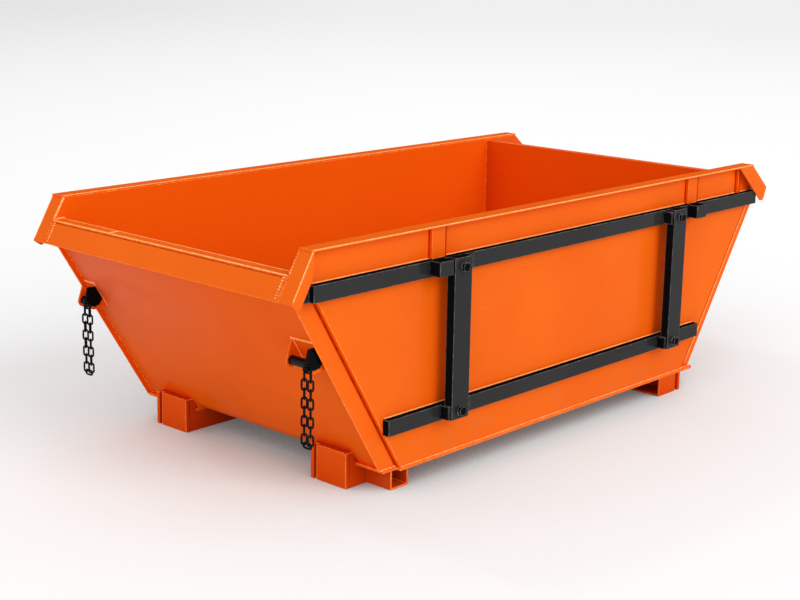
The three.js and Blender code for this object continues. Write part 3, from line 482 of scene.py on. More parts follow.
class Bench:
    """Modelling steps that every piece shares."""

    @staticmethod
    def clear() -> None:
        """Deselects everything."""
        if bpy.context.object and bpy.context.object.mode != "OBJECT":
            bpy.ops.object.mode_set(mode="OBJECT")
        bpy.ops.object.select_all(action="DESELECT")

    @staticmethod
    def pick(piece: bpy.types.Object) -> None:
        """Selects one object and makes it active."""
        Bench.clear()
        piece.select_set(True)
        bpy.context.view_layer.objects.active = piece

    @staticmethod
    def edit(mode: str, chosen: Callable[[object], bool]) -> None:
        """Goes into edit mode with the chosen vertices, edges or faces of the active object selected.

        Args:
            mode: VERT, EDGE or FACE.
            chosen: says of a vertex, edge or face whether it is selected.
        """
        mesh = bpy.context.object.data
        groups = {"VERT": mesh.vertices, "EDGE": mesh.edges, "FACE": mesh.polygons}
        bpy.ops.object.mode_set(mode="EDIT")
        bpy.ops.mesh.select_mode(type=mode)
        bpy.ops.mesh.select_all(action="DESELECT")
        bpy.ops.object.mode_set(mode="OBJECT")
        for item in groups[mode]:
            item.select = chosen(item)
        bpy.ops.object.mode_set(mode="EDIT")

    @staticmethod
    def modify(kind: str, **settings: object) -> None:
        """Adds a modifier to the active object and applies it.

        Args:
            kind: the modifier's type.
            settings: its properties.
        """
        made = bpy.context.object.modifiers.new(kind.lower(), kind)
        for key, value in settings.items():
            setattr(made, key, value)
        bpy.ops.object.modifier_apply(modifier=made.name)

    @staticmethod
    def move(piece: bpy.types.Object, matrix: Matrix) -> None:
        """Puts a piece in its place and makes that place part of its mesh."""
        Bench.pick(piece)
        piece.matrix_world = matrix @ piece.matrix_world
        bpy.ops.object.transform_apply(location=True, rotation=True, scale=True)

    @staticmethod
    def copy(piece: bpy.types.Object) -> bpy.types.Object:
        """A copy with its own mesh."""
        twin = piece.copy()
        twin.data = piece.data.copy()
        bpy.context.collection.objects.link(twin)
        return twin

    @staticmethod
    def join(pieces: Sequence[bpy.types.Object], name: str) -> bpy.types.Object:
        """Joins meshes into one named piece at the origin.

        Args:
            pieces: what is joined.
            name: the new piece's name.

        Returns:
            The piece.
        """
        Bench.clear()
        for piece in pieces:
            piece.select_set(True)
        bpy.context.view_layer.objects.active = pieces[0]
        bpy.ops.object.join()
        whole = bpy.context.object
        whole.name = whole.data.name = name
        bpy.ops.object.transform_apply(location=True, rotation=True, scale=True)
        return whole

    @staticmethod
    def hand_over(piece: bpy.types.Object, body: str, slot: Slot, material: bpy.types.Material) -> None:
        """Gives a piece its material and its body."""
        piece.data.materials.clear()
        piece.data.materials.append(material)
        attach(piece, body)
        log.info("%s: %d faces on %s", piece.name, len(piece.data.polygons), body)


@dataclass(frozen=True)
class Seam:
    """A straight weld, or a straight line of painted shade or painted highlight, from start to end, in
    millimetres.
    """

    start: Point
    end: Point
    radius: float = 3.5


@dataclass
class WeldRun:
    """Rippled beads along a group of seams, as one piece: welds, or lines of painted shade or painted
    highlight.
    """

    name: str
    seams: list[Seam]
    pitch: float = 5.5
    sides: int = 8
    waist_share: float = 0.9
    lumps: float = 0.7
    lump_size: float = 9.0

    def _bead(self, seam: Seam) -> bpy.types.Object:
        """One bead: a short swelling ring, repeated along the seam, closed and a little uneven.

        Args:
            seam: where it runs.

        Returns:
            The bead, in its place.
        """
        start, end = Vector(seam.start) * MM, Vector(seam.end) * MM
        run = end - start
        count = max(2, round(run.length / (self.pitch * MM)))
        step = run.length / count
        Bench.clear()
        bpy.ops.mesh.primitive_cylinder_add(
            vertices=self.sides, radius=seam.radius * MM, depth=step, end_fill_type="NOTHING",
            location=(0, 0, step / 2),
        )
        bead = bpy.context.object
        bpy.ops.object.transform_apply(location=True, rotation=True, scale=True)
        ends = bead.data.vertices
        Bench.edit("EDGE", lambda e: abs(ends[e.vertices[0]].co.z - ends[e.vertices[1]].co.z) > step / 2)
        bpy.ops.mesh.subdivide(number_cuts=1)
        bpy.ops.object.mode_set(mode="OBJECT")
        Bench.edit("VERT", lambda v: abs(v.co.z - step / 2) > step / 4)
        bpy.ops.transform.resize(value=(self.waist_share, self.waist_share, 1))
        bpy.ops.object.mode_set(mode="OBJECT")
        Bench.modify(
            "ARRAY", count=count, use_relative_offset=False, use_constant_offset=True,
            constant_offset_displace=(0, 0, step), use_merge_vertices=True, merge_threshold=step / 50,
        )
        Bench.edit("EDGE", lambda e: False)
        bpy.ops.mesh.select_non_manifold(extend=False, use_wire=False, use_multi_face=False, use_verts=False)
        bpy.ops.mesh.edge_face_add()
        bpy.ops.mesh.select_all(action="SELECT")
        bpy.ops.mesh.normals_make_consistent(inside=False)
        bpy.ops.object.mode_set(mode="OBJECT")
        turn = run.to_track_quat("Z", "Y").to_matrix().to_4x4()
        Bench.move(bead, Matrix.Translation(start) @ turn)
        return bead

    def build(self, material: bpy.types.Material, slot: Slot = Slot.ORANGE) -> bpy.types.Object:
        """Makes every bead of the run and joins them.

        Args:
            material: the beads' finish.
            slot: not used.

        Returns:
            The piece.
        """
        piece = Bench.join([self._bead(seam) for seam in self.seams], self.name)
        cloud = bpy.data.textures.new(self.name + "_unevenness", "CLOUDS")
        cloud.noise_scale = self.lump_size * MM
        Bench.modify(
            "DISPLACE", texture=cloud, texture_coords="GLOBAL", strength=self.lumps * MM, mid_level=0.5,
        )
        bpy.ops.object.shade_smooth()
        Bench.hand_over(piece, TUB_BODY, slot, material)
        return piece


@dataclass
class Tub:
    """The tub's sizes that its seams follow, in millimetres."""

    floor_top: float = 76.0
    rim_under: float = 799.0
    rim_top: float = 805.0
    rim_edge: float = 600.0
    shoulder: float = 640.0
    side_face: float = 550.0
    inner_face: float = 546.0
    skin_face: float = 568.0
    left_low: float = -839.0
    right_low: float = 842.0
    left_lean: float = 0.6153
    right_lean: float = 0.6684
    end_inset: float = 22.0
    sheet: float = 5.0
    strip_left: float = 75.0
    strip_right: float = 78.0
    bulkhead: float = 948.0
    bulkhead_foot: float = 282.0
    bulkhead_top: float = 793.0
    rail_top: float = 702.0
    lower_rail_top: float = 246.0
    end_rim_top: float = 732.0
    end_rim_width: float = 44.0
    end_joint: float = 255.0
    toe: float = 662.0
    bend_start: float = -292.0
    bend_end: float = 306.0
    ledge_out: float = 14.0
    ledge_end: float = 14.0
    joint_drop: float = 52.0
    # insets of the line of painted shade and of the line of painted highlight along the right slanted edge
    dark_fold: float = 46.0
    light_fold: float = 33.0
    stitch_in: float = 17.0
    ear_low: float = 4.4
    right_ear: float = 1130.0
    flat_bars: tuple[float, ...] = (-625.0, 754.0)
    flat_bar_half: float = 31.0
    rib_inset: float = 149.0
    rib_half: float = 5.0
    bar_out: float = 11.4
    rail_ends: Band = (-1138.0, 1150.0)
    lower_rail_ends: Band = (-840.0, 820.0)

    def left(self, z: float, inset: float = 0.0) -> float:
        """x of the left slanted edge at a height, moved inwards."""
        return self.left_low - (z - self.floor_top) * self.left_lean + inset

    def right(self, z: float, inset: float = 0.0) -> float:
        """x of the right slanted edge at a height, moved inwards."""
        return self.right_low + (z - self.floor_top) * self.right_lean - inset

    def cap(self, z: float) -> float:
        """x of the left ear caps and the band between them at a height."""
        return -1163 - (self.rim_under - z) * 80 / 137

    def outside_seams(self, sign: int) -> list[Seam]:
        """Bright seams at the foot of one long side."""
        low, skin, side = self.floor_top, sign * self.skin_face, sign * self.side_face
        a, b = self.left(low, self.strip_left), self.right(low, self.strip_right)
        ledge = side + sign * self.ledge_out
        return [
            Seam((a, skin, low + 1), (b + 2, skin, low + 1), 3.4),
            Seam((self.left(low) + 4, side, low + 1), (a, side, low + 1), 3.6),
            Seam((b + 2, ledge, low + 1), (self.right(low, self.ledge_end), ledge, low + 1), 3.6),
        ]

    def step_shade_lines(self, sign: int) -> list[Seam]:
        """Dark lines of painted shade at the foot of the skin's two slanted steps and along its right slanted
        edge.
        """
        low, top, side = self.floor_top + 2, self.rail_top - self.joint_drop, sign * self.side_face
        a, b = self.left(low, self.strip_left), self.right(low, self.strip_right)
        high_a, high_b = self.left(top, self.strip_left), self.right(top, self.strip_right)
        return [
            Seam((a - 1, side, low), (high_a - 1, side, top), 4.6),
            Seam((b + 1, side, low), (high_b + 1, side, top), 3.6),
            self.right_fold(sign, self.dark_fold),
        ]

    def right_fold(self, sign: int, inset: float) -> Seam:
        """One of the two fine lines along the right slanted edge of one side sheet: the dark one is painted
        shade, the light one a painted highlight.
        """
        low, high, y = self.floor_top + 8, self.rail_top - self.joint_drop, sign * (self.side_face + 0.2)
        return Seam((self.right(low, inset), y, low), (self.right(high, inset), y, high), 2.0)

    def end_seams(self) -> list[Seam]:
        """Seams where the leaning end sheets meet the side sheets, outside."""
        seams = []
        inset, low, high, right_high = self.end_inset, self.floor_top + 2, self.shoulder + 4, self.toe - 3
        for y in (1 - self.inner_face, self.inner_face - 1):
            seams += [
                Seam((self.left(low, inset), y, low), (self.left(high, inset), y, high), 4.0),
                Seam((self.right(low, inset), y, low), (self.right(right_high, inset), y, right_high), 3.6),
            ]
        return seams

    def inside_seams(self) -> list[Seam]:
        """Seams inside the load space and the end compartment."""
        low, foot = self.floor_top, self.bulkhead_foot
        inset = self.end_inset + self.sheet
        a, b = self.left(low, inset), self.right(low, inset)
        seams = [
            Seam((a, -self.inner_face, low), (a, self.bend_start - 4, low), 3.2),
            Seam((a, self.bend_end + 4, low), (a, self.inner_face, low), 3.2),
            Seam((b, -self.inner_face, low), (b, self.inner_face, low), 3.2),
            Seam((self.bulkhead, -self.inner_face, foot), (self.bulkhead, self.inner_face, foot), 3.4),
        ]
        for sign in (-1, 1):
            y = sign * self.inner_face
            seams += [
                Seam((a, y, low), (b, y, low), 3.2),
                Seam((a, y, low), (self.left(self.end_rim_top - 8, inset), y, self.end_rim_top - 8), 3.2),
                Seam((b, y, low), (self.right(foot, inset), y, foot), 3.2),
            ]
        return seams

    def stitch_seams(self) -> list[Seam]:
        """Coarse seams up both ends of the bulkhead."""
        return [
            Seam(
                (self.bulkhead, sign * self.inner_face, self.bulkhead_foot),
                (self.bulkhead, sign * self.inner_face, self.bulkhead_top - 4), 5.0,
            )
            for sign in (-1, 1)
        ]

    def ear_seams(self) -> list[Seam]:
        """Coarse seams at the ears, where the end rim, the band and the side rims run into them."""
        seams = []
        top, toe, rim, under = self.end_rim_top, self.toe, self.rim_top - self.ear_low, self.rim_under
        low, high, cap = self.cap(toe + 4) + 4, self.cap(top - 6) + 4, self.cap(under)
        for sign in (-1, 1):
            y = sign * self.inner_face
            stitch, outer = y - sign * self.stitch_in, sign * (self.rim_edge - 3)
            seams += [
                Seam((low, stitch, toe + 4), (high, stitch, top - 6), 5.6),
                Seam((self.cap(top) + 4, y, top), (self.cap(top) + self.end_rim_width, y, top), 5.6),
                Seam((self.cap(top) + 4, y, top + 1), (cap + 5, y, under - 1), 5.0),
                Seam((cap + 6, y, rim), (cap + 6, outer, rim), 2.6),
                Seam((self.right_ear, y, rim), (self.right_ear, outer, rim), 2.6),
            ]
        return seams

    def highlight_lines(self, sign: int) -> list[Seam]:
        """Fine lines of painted highlight along the long edges of one side rim, the outer fold of its left
        ear and the right slanted edge of its side sheet.
        """
        z, cap, right, under = self.rim_top - 2, self.cap(self.rim_under), self.right_ear + 2, self.rim_under
        toe, outer, inner = self.toe + 8, sign * (self.rim_edge - 1.4), sign * (self.inner_face + 1.6)
        return [
            Seam((cap + 2, outer, z), (right, outer, z), 1.9),
            Seam((cap + 2, inner, z), (right, inner, z), 1.9),
            Seam((self.cap(toe) + 1.6, outer, toe), (cap + 1.6, outer, under), 2.1),
            self.right_fold(sign, self.light_fold),
        ]

    def corner_rolls(self) -> list[Seam]:
        """Smooth thick fillets between the band and the ears."""
        low, high = self.toe + 8, self.end_rim_top - 12
        return [
            Seam(
                (self.cap(low) + 6, sign * (self.inner_face - 4), low),
                (self.cap(high) + 6, sign * (self.inner_face - 4), high), 8.0,
            )
            for sign in (-1, 1)
        ]

    def end_rim_seams(self) -> list[Seam]:
        """Bright seams along both edges of the left end rim, and the joint across it."""
        outer, top = self.cap(self.end_rim_top - 6), self.end_rim_top - 0.5
        inner = outer + self.end_rim_width
        half = self.inner_face - 6
        return [
            Seam((outer + 2, -half, top - 0.5), (outer + 2, half, top - 0.5), 2.6),
            Seam((inner - 1, -half, top - 1), (inner - 1, half, top - 1), 2.6),
            Seam((outer + 4, self.end_joint, top), (inner - 2, self.end_joint, top), 3.0),
        ]

    def end_rim_shade_line(self) -> list[Seam]:
        """A dark line of painted shade under the left end rim's outer edge."""
        z, half = self.end_rim_top - 8, self.inner_face - 14
        return [Seam((self.cap(z) + 1, -half, z), (self.cap(z) + 1, half, z), 1.4)]

    def stiffener_shade_lines(self, sign: int) -> list[Seam]:
        """Dark lines of painted shade up both edges of the flat bars and the rib under one side rim, and on
        each one's face by its right edge.
        """
        seams = []
        y, low, high = sign * self.skin_face, self.rail_top + 1, self.rim_under - 1
        proud = y + sign * self.bar_out
        bars = [(x, self.flat_bar_half) for x in self.flat_bars]
        bars.append((self.right(self.shoulder, self.rib_inset), self.rib_half))
        for x, half in bars:
            left, right = x - half - 1, x + half + 1
            seams += [Seam((edge, y, low), (edge, y, high), 3.0) for edge in (left, right)]
            seams.append(Seam((right - 2, proud, low), (right - 2, proud, high), 2.4))
        return seams

    def rail_seams(self, sign: int) -> list[Seam]:
        """Fine bright seams along the top of both rails of one side."""
        y = sign * self.skin_face
        rails = ((self.rail_ends, self.rail_top + 0.5), (self.lower_rail_ends, self.lower_rail_top + 0.5))
        return [Seam((left, y, z), (right, y, z), 2.8) for (left, right), z in rails]

    def build(
        self, paint: bpy.types.Material, bright: bpy.types.Material, shaded: bpy.types.Material,
    ) -> None:
        """Makes the tub's weld runs.

        Args:
            paint: the finish of plain beads.
            bright: the finish of fine beads and lines that stand out, lighter as a painted highlight.
            shaded: the finish of the dark lines of painted shade.
        """
        for side, sign in (("near", -1), ("far", 1)):
            foot = self.outside_seams(sign)
            # The bright finish on the side, rail, ear and end rim beads is a painted highlight.
            WeldRun(f"weld_side_{side}", foot, pitch=16.0, waist_share=0.3, lumps=2.2).build(bright)
            # Dark lines of painted shade at the skin's steps and along the bars' edges.
            WeldRun(f"joint_skin_{side}", self.step_shade_lines(sign), pitch=12).build(shaded)
            WeldRun(f"joint_stiffeners_{side}", self.stiffener_shade_lines(sign)).build(shaded)
            WeldRun(f"weld_rails_{side}", self.rail_seams(sign), pitch=9).build(bright)
            # Fine lines of painted highlight along the rim's edges and folds.
            highlight_runs = self.highlight_lines(sign)
            WeldRun(f"rolled_edges_{side}", highlight_runs, pitch=24, waist_share=0.95, lumps=0.3).build(bright)
        WeldRun("weld_ends", self.end_seams()).build(paint)
        WeldRun("weld_inside", self.inside_seams(), pitch=6.5).build(paint)
        WeldRun("weld_bulkhead", self.stitch_seams(), pitch=12.0, waist_share=0.4, lumps=1.6).build(paint)
        WeldRun("weld_ears", self.ear_seams(), pitch=9.0, waist_share=0.5, lumps=3.2).build(bright)
        WeldRun("roll_ears", self.corner_rolls(), pitch=9, sides=16, waist_share=0.99).build(paint)
        WeldRun("weld_end_rim", self.end_rim_seams(), pitch=7.0).build(bright)
        # A dark line of painted shade under the end rim.
        WeldRun("shade_line_end_rim", self.end_rim_shade_line(), pitch=12).build(shaded)


@dataclass
class Legs:
    """Seams at the feet and cross members, in millimetres."""

    foot_left: float = -872.0
    foot_width: float = 125.0
    groove: float = 14.0
    groove_depth: float = 12.0
    near_starts: tuple[float, float] = (-443.0, 306.0)
    top: float = 113.4
    channel_right: float = 722.0
    channel_half: float = 573.0
    hook_inset: float = 10.0
    under_floor: float = 68.0
    fold: float = 15.0

    def _plate_shade_lines(self) -> list[Seam]:
        """Dark lines of painted shade where each foot's folded front meets its near side."""
        x, z = self.foot_left + self.fold, self.top - 4
        return [Seam((x, start, 2), (x, start, z), 1.5) for start in self.near_starts]

    def build(self, paint: bpy.types.Material, shaded: bpy.types.Material) -> None:
        """Makes the beads in the feet's grooves, over their tops and along the channel, and the dark lines of
        painted shade at the feet's folds.

        Args:
            paint: the finish of the beads.
            shaded: the finish of the lines of painted shade.
        """
        seams = []
        top = self.top
        for start in self.near_starts:
            middle = start + self.foot_width + self.groove / 2
            back = self.foot_left + self.groove_depth
            seams.append(Seam((back, middle, 2), (back, middle, top - 6), 5.5))
            end = start + self.foot_width
            seams.append(Seam((self.foot_left + 2, start, top - 1), (self.foot_left + 2, end, top - 1), 3.0))
        for sign in (-1, 1):
            y = sign * (self.channel_half - self.hook_inset)
            hook = self.channel_right + 4
            seams.append(Seam((hook, y, 3), (hook, y, self.under_floor - 2), 4.5))
        half, under = self.channel_half - 2, self.under_floor - 1
        seams.append(Seam((self.channel_right, -half, under), (self.channel_right, half, under), 2.6))
        WeldRun("weld_feet", seams, pitch=6.0, waist_share=0.74, lumps=1.2).build(paint)
        # Dark lines of painted shade at the feet's folds.
        WeldRun("shade_line_feet", self._plate_shade_lines(), pitch=8.0).build(shaded)


@dataclass
class LugWelds:
    """Beads that hold the lug cheeks to the left end sheet and side sheet, in millimetres."""

    tub: Tub
    near_cheeks: tuple[float, float] = (-529.0, -435.0)
    far_cheek: float = 498.0
    sheet: float = 6.0
    low: float = 434.0
    high: float = 516.0
    root_radius: float = 3.4
    top_radius: float = 4.4

    def _root(self, y: float) -> Seam:
        """Bead down the root of a cheek's face."""
        ends = [(self.tub.left(z, self.tub.end_inset), y, z) for z in (self.low, self.high)]
        return Seam(*ends, self.root_radius)

    def build(self, paint: bpy.types.Material) -> None:
        """Makes a bead on each face of every cheek, and one across between their tops."""
        faces = [
            middle + face * self.sheet / 2
            for middle in (*self.near_cheeks, self.far_cheek) for face in (-1, 1)
        ]
        seams = [self._root(y) for y in faces]
        x = self.tub.left(self.high, self.tub.end_inset) - 1
        spans = (
            (self.near_cheeks[0] - 4, self.near_cheeks[1] + 4), (self.far_cheek - 4, self.tub.inner_face),
        )
        seams += [Seam((x, a, self.high), (x, b, self.high), self.top_radius) for a, b in spans]
        WeldRun("weld_lugs", seams, pitch=8.0, waist_share=0.4, lumps=2.2).build(paint)


@dataclass
class RailWelds:
    """Black beads at the stop blocks and saddles on the rails, in millimetres."""

    rail_face: float = 593.0
    block_edges: tuple[float, ...] = (-679.0, 705.0, 765.0)
    block_low: float = 660.0
    block_high: float = 702.0
    saddle_edges: tuple[float, ...] = (-618.0, -482.0, 552.0, 647.0)
    saddle_levels: tuple[tuple[float, float], ...] = ((658.0, 696.0), (206.0, 243.0))

    def build(self, paint: bpy.types.Material) -> None:
        """Makes the beads of both sides."""
        for side, sign in (("near", -1), ("far", 1)):
            y = sign * self.rail_face
            seams = [Seam((x, y, self.block_low), (x, y, self.block_high), 3.0) for x in self.block_edges]
            for x in self.saddle_edges:
                seams += [Seam((x, y, low), (x, y, high), 2.6) for low, high in self.saddle_levels]
            WeldRun(f"weld_rail_fittings_{side}", seams, pitch=5.0).build(paint, Slot.BLACK)


@dataclass
class Chain:
    """A doubled chain of separate welded links that stands for one fused CAD chain, in millimetres."""

    name: str
    body: str
    hole: Point
    wire: float = 6.0
    pitch: float = 27.0
    width: float = 21.0
    bite: float = 0.2
    spread: float = 26.0
    links: int = 8
    round_steps: int = 28
    wire_steps: int = 12
    side_cuts: int = 7
    butt_weld: Point = (1.14, 1.0, 1.22)
    lean: float = math.radians(45)
    unrest: float = 0.09
    bow: float = field(init=False)
    straight: float = field(init=False)

    def __post_init__(self) -> None:
        """Works out the bow's radius and the straight length from the link's size."""
        self.bow = (self.width - self.wire) / 2
        self.straight = self.pitch - self.bite + self.wire - 2 * self.bow

    def _link(self) -> bpy.types.Object:
        """One link lying flat, its long way along Y, with the swelling of its butt weld."""
        Bench.clear()
        bpy.ops.mesh.primitive_torus_add(
            major_radius=self.bow * MM, minor_radius=self.wire / 2 * MM,
            major_segments=self.round_steps, minor_segments=self.wire_steps,
        )
        link = bpy.context.object
        bpy.ops.transform.rotate(value=math.pi / self.round_steps, orient_axis="Z", center_override=(0, 0, 0))
        bpy.ops.object.transform_apply(location=True, rotation=True, scale=True)
        for way in (-1, 1):
            Bench.edit("VERT", lambda v: v.co.y * way > 0)
            bpy.ops.transform.translate(value=(0, way * self.straight / 2 * MM, 0))
            bpy.ops.object.mode_set(mode="OBJECT")
        ends = link.data.vertices
        Bench.edit("EDGE", lambda e: ends[e.vertices[0]].co.y * ends[e.vertices[1]].co.y < 0)
        bpy.ops.mesh.subdivide(number_cuts=self.side_cuts)
        bpy.ops.object.mode_set(mode="OBJECT")
        Bench.edit("VERT", lambda v: v.co.x > 0 and abs(v.co.y) < self.straight / 8 * MM)
        bpy.ops.transform.resize(value=self.butt_weld, center_override=(self.bow * MM, 0, 0))
        bpy.ops.object.mode_set(mode="OBJECT")
        bpy.ops.object.shade_smooth()
        return link

    def build(self, material: bpy.types.Material) -> None:
        """Hangs the links one in the other and joins them into the piece that replaces the CAD chain.

        Args:
            material: the steel's finish.
        """
        past = (self.spread - self.straight) / 2
        drop = math.sqrt(self.bow ** 2 - past ** 2)
        bearing = self.wire - self.bite
        reach = self.straight / 2 + self.bow
        first = self.bow + drop - bearing + reach
        last = first + (self.links - 1) * self.pitch
        hole = Matrix.Translation(Vector(self.hole) * MM)
        pattern = self._link()
        upright = Matrix.Rotation(math.pi / 2, 4, "X")
        on_edge = Matrix.Rotation(math.pi / 2, 4, "Y")
        places = [
            Matrix.Translation((0, 0, -self.bow * MM)) @ on_edge,
            Matrix.Translation((0, 0, -(last + reach - bearing + drop) * MM)) @ on_edge,
        ]
        for way in (-1, 1):
            for number in range(self.links):
                stray = self.unrest * math.sin(2.3 * number + way)
                turn = self.lean + (number % 2) * math.pi / 2 + stray
                z = -(first + number * self.pitch) * MM
                place = Matrix.Translation((0, way * self.spread / 2 * MM, z))
                places.append(place @ Matrix.Rotation(turn, 4, "Z") @ upright)
        links = []
        for place in places:
            link = Bench.copy(pattern)
            Bench.move(link, hole @ place)
            links.append(link)
        bpy.data.objects.remove(pattern)
        piece = Bench.join(links, self.name + "_links")
        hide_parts(self.name)
        Bench.hand_over(piece, self.body, Slot.CHAIN, material)


@dataclass
class Dresser:
    """Rounds the edges of the CAD nodes and gives them their paint."""

    nodes: dict[str, bpy.types.Object]
    slots: dict[str, str]
    special: dict[str, bpy.types.Material]
    round_radius: float = 2.0 * MM
    small_radius: float = 1.5 * MM
    small: tuple[str, ...] = ("bolt", "keeper", "lug_pin")

    def _face(self, name: str, plain: bpy.types.Material) -> bpy.types.Material:
        """The face material of one node: a special one by the start of its name, or the plain one."""
        fitting = [material for start, material in self.special.items() if name.startswith(start)]
        return fitting[0] if fitting else plain

    def build(self, faces: dict[str, bpy.types.Material], edges: dict[str, bpy.types.Material]) -> None:
        """Dresses every node.

        Args:
            faces: the material of the faces for each slot.
            edges: the material of the rounded edges for each slot: a lighter painted highlight, on black
                edges wear as well.
        """
        for name, node in self.nodes.items():
            slot = self.slots[name]
            node.data.materials.clear()
            node.data.materials.append(self._face(name, faces[slot]))
            if name.startswith("chain"):
                continue
            # The rounded edges take the lighter edge finish: a painted highlight, on black edges wear as
            # well.
            node.data.materials.append(edges["bolt"] if name.startswith("bolt") else edges[slot])
            weld = node.modifiers.new("weld", "WELD")
            weld.merge_threshold = 0.01 * MM
            rounding = node.modifiers.new("rounding", "BEVEL")
            rounding.width = self.small_radius if name.startswith(self.small) else self.round_radius
            rounding.segments = 2
            rounding.limit_method = "ANGLE"
            rounding.angle_limit = math.radians(25)
            rounding.material = 1
        log.info("dressed %d nodes", len(self.nodes))


@dataclass
class Studio:
    """Pale floor, soft sky, broad key from the front, fill from the left, faint small lamp behind."""

    plain_colour: Colour = (0.985, 0.985, 0.985)
    # near_colour: a painted cyan tint near the tub, which takes out the orange light that the tub bounces
    # onto the floor
    near_colour: Colour = (0.76, 0.965, 0.98)
    # a painted contact shadow: the dark colour right under the tub
    contact_shadow_colour: Colour = (0.11, 0.052, 0.045)
    # painted shade: the floor darkens towards this colour further off and towards the left
    far_colour: Colour = (0.72, 0.72, 0.724)
    near_reach: float = 2.4
    near_band: Band = (0.0, 0.75)
    under_reach: float = 0.3
    under_band: Band = (0.6, 1.0)
    far_band: Band = (3.0, 26.0)
    far_share: float = 0.6
    left_way: tuple[float, float] = (0.677, 0.736)
    left_band: Band = (-1.0, 8.0)
    left_share: float = 0.4
    seen_white: float = 0.10
    floor_size: float = 160.0
    sky: float = 0.69
    key: float = 1.38
    key_from: Point = (0.02, -0.87, 0.49)
    fill: float = 0.82
    fill_from: Point = (-0.86, -0.30, 0.42)
    glint: float = 0.14
    glint_from: Point = (-0.20, 0.70, 0.69)

    def _floor(self) -> None:
        """Floor that runs out of view, with painted shade: darker further off and towards the left, a painted
        contact shadow under the tub, and a painted cyan tint near it against the tub's orange bounce light.
        """
        Bench.clear()
        bpy.ops.mesh.primitive_plane_add(size=self.floor_size, location=(0, 0, 0))
        floor = bpy.context.object
        floor.name = "studio_floor"
        shader = Shader("studio_floor_paper")
        x, y = shader.across()
        radius = shader.far_from_centre()
        left = (y * self.left_way[1] - x * self.left_way[0]).within(self.left_band)
        grain = shader.noise(2.0, 3.0)
        # Painted: a cyan tint near the tub takes out the orange light it bounces onto the floor.
        close = shader.crevice(self.near_reach).within(self.near_band)
        near = shader.mix(close, self.plain_colour, self.near_colour)
        # Painted contact shadow right under the tub.
        covered = shader.crevice(self.under_reach).within(self.under_band)
        under = shader.mix(covered, near, self.contact_shadow_colour)
        # Painted shade: darker further off and towards the left.
        depth = radius.within(self.far_band) * self.far_share + left * self.left_share + grain * 0.02
        tone = shader.mix(depth, under, self.far_colour)
        floor.data.materials.append(shader.paper(tone, 0.85 + grain * 0.05, self.seen_white))

    def _lamp(self, name: str, strength: float, towards: Point, spread: float) -> None:
        """Broad sun lamp.

        Args:
            name: the lamp's name.
            strength: its strength.
            towards: direction from the object to the lamp.
            spread: how broad it is, in degrees.
        """
        lamp = bpy.data.lights.new(name, "SUN")
        lamp.energy = strength
        lamp.angle = math.radians(spread)
        holder = bpy.data.objects.new(name, lamp)
        holder.rotation_euler = Vector(towards).to_track_quat("Z", "Y").to_euler()
        bpy.context.collection.objects.link(holder)

    def build(self) -> None:
        """Makes the floor, the lamps and the sky."""
        self._floor()
        self._lamp("key", self.key, self.key_from, spread=40)
        self._lamp("fill", self.fill, self.fill_from, spread=50)
        self._lamp("glint", self.glint, self.glint_from, spread=6)
        world = bpy.data.worlds.new("studio_sky")
        world.use_nodes = True
        light = world.node_tree.nodes["Background"].inputs
        light["Color"].default_value = (1.0, 1.0, 1.0, 1.0)
        light["Strength"].default_value = self.sky
        scene = bpy.context.scene
        scene.world = world
        scene.view_settings.view_transform = "Standard"


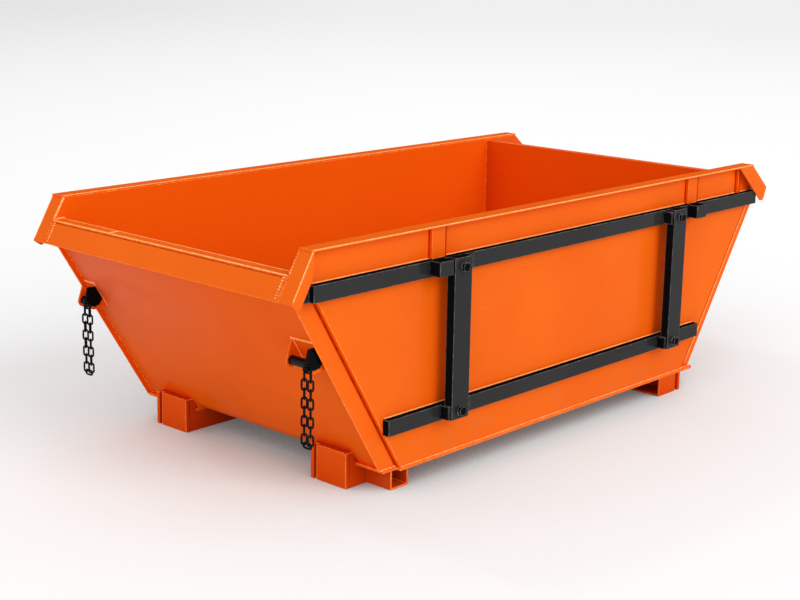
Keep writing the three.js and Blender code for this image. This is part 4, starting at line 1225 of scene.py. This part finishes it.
@dataclass
class PhotoCamera:
    """Camera at the photograph's place and turn."""

    place: Point = (-4.0198, -3.5497, 1.6701)
    yaw: float = 0.74378
    pitch: float = 0.23906
    roll: float = 0.016985
    focal_px: float = 1552.5
    width_px: float = 800.0
    sensor: float = 36.0

    def build(self) -> None:
        """Makes the camera."""
        cy, sy = math.cos(self.yaw), math.sin(self.yaw)
        cp, sp = math.cos(self.pitch), math.sin(self.pitch)
        forward = Vector((cp * cy, cp * sy, -sp))
        level = Vector((sy, -cy, 0))
        upright = level.cross(forward)
        cr, sr = math.cos(self.roll), math.sin(self.roll)
        right = cr * level + sr * upright
        up = -sr * level + cr * upright
        data = bpy.data.cameras.new("photo_camera")
        data.sensor_width = self.sensor
        data.lens = self.focal_px / self.width_px * self.sensor
        camera = bpy.data.objects.new("photo_camera", data)
        turn = Matrix((right, up, -forward)).transposed().to_4x4()
        camera.matrix_world = Matrix.Translation(self.place) @ turn
        bpy.context.collection.objects.link(camera)
        bpy.context.scene.camera = camera


def main() -> None:
    """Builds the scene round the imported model."""
    logging.basicConfig(level=logging.INFO, format="%(message)s")
    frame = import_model()
    chain = CHAIN_STEEL.material()
    faces = {
        Slot.ORANGE.value: ORANGE.material(), Slot.BLACK.value: BLACK.material(), Slot.CHAIN.value: chain,
    }
    # The edge finishes are lighter as a painted highlight; on black edges wear as well.
    edges = {Slot.ORANGE.value: EDGE.material(), Slot.BLACK.value: BLACK_EDGE_WEAR_AND_HIGHLIGHT.material()}
    edges["bolt"] = BOLT_EDGE_HIGHLIGHT.material()
    # bead and gleam are lighter as a painted highlight; joint is the dark finish of the lines of painted
    # shade.
    bead, gleam, joint = BEAD.material(), GLEAM.material(), SHADE_LINE.material()
    gloss, dull, in_shade, rim = (paint.material() for paint in (BLACK_GLOSS, BLACK_DULL, ORANGE_IN_SHADE, RIM))
    # The bulkhead, feet and cross tubes take the copy with a deeper painted shade; the left end sheet the
    # copy with a painted sheen.
    special = {
        "bolt": dull, "lug_pin": gloss, "keeper": dull, "end_panel_left": ORANGE_WITH_SHEEN.material(),
        "bulkhead": in_shade, "foot": in_shade, "cross": in_shade, "side_rim": rim, "end_rim": rim,
    }
    slots = {entry["node"]: entry["material_slot"] for entry in frame["record"]["subparts"]}

    PhotoCamera().build()
    Studio().build()
    Dresser(frame["nodes"], slots, special).build(faces, edges)
    tub = Tub()
    tub.build(bead, gleam, joint)
    Legs().build(bead, joint)
    # The lug beads take the painted highlight finish.
    LugWelds(tub).build(gleam)
    RailWelds().build(BLACK_BEAD.material())
    for name, hole in CHAIN_HOLES.items():
        Chain(name, name, hole).build(chain)


if __name__ == "__main__":
    main()
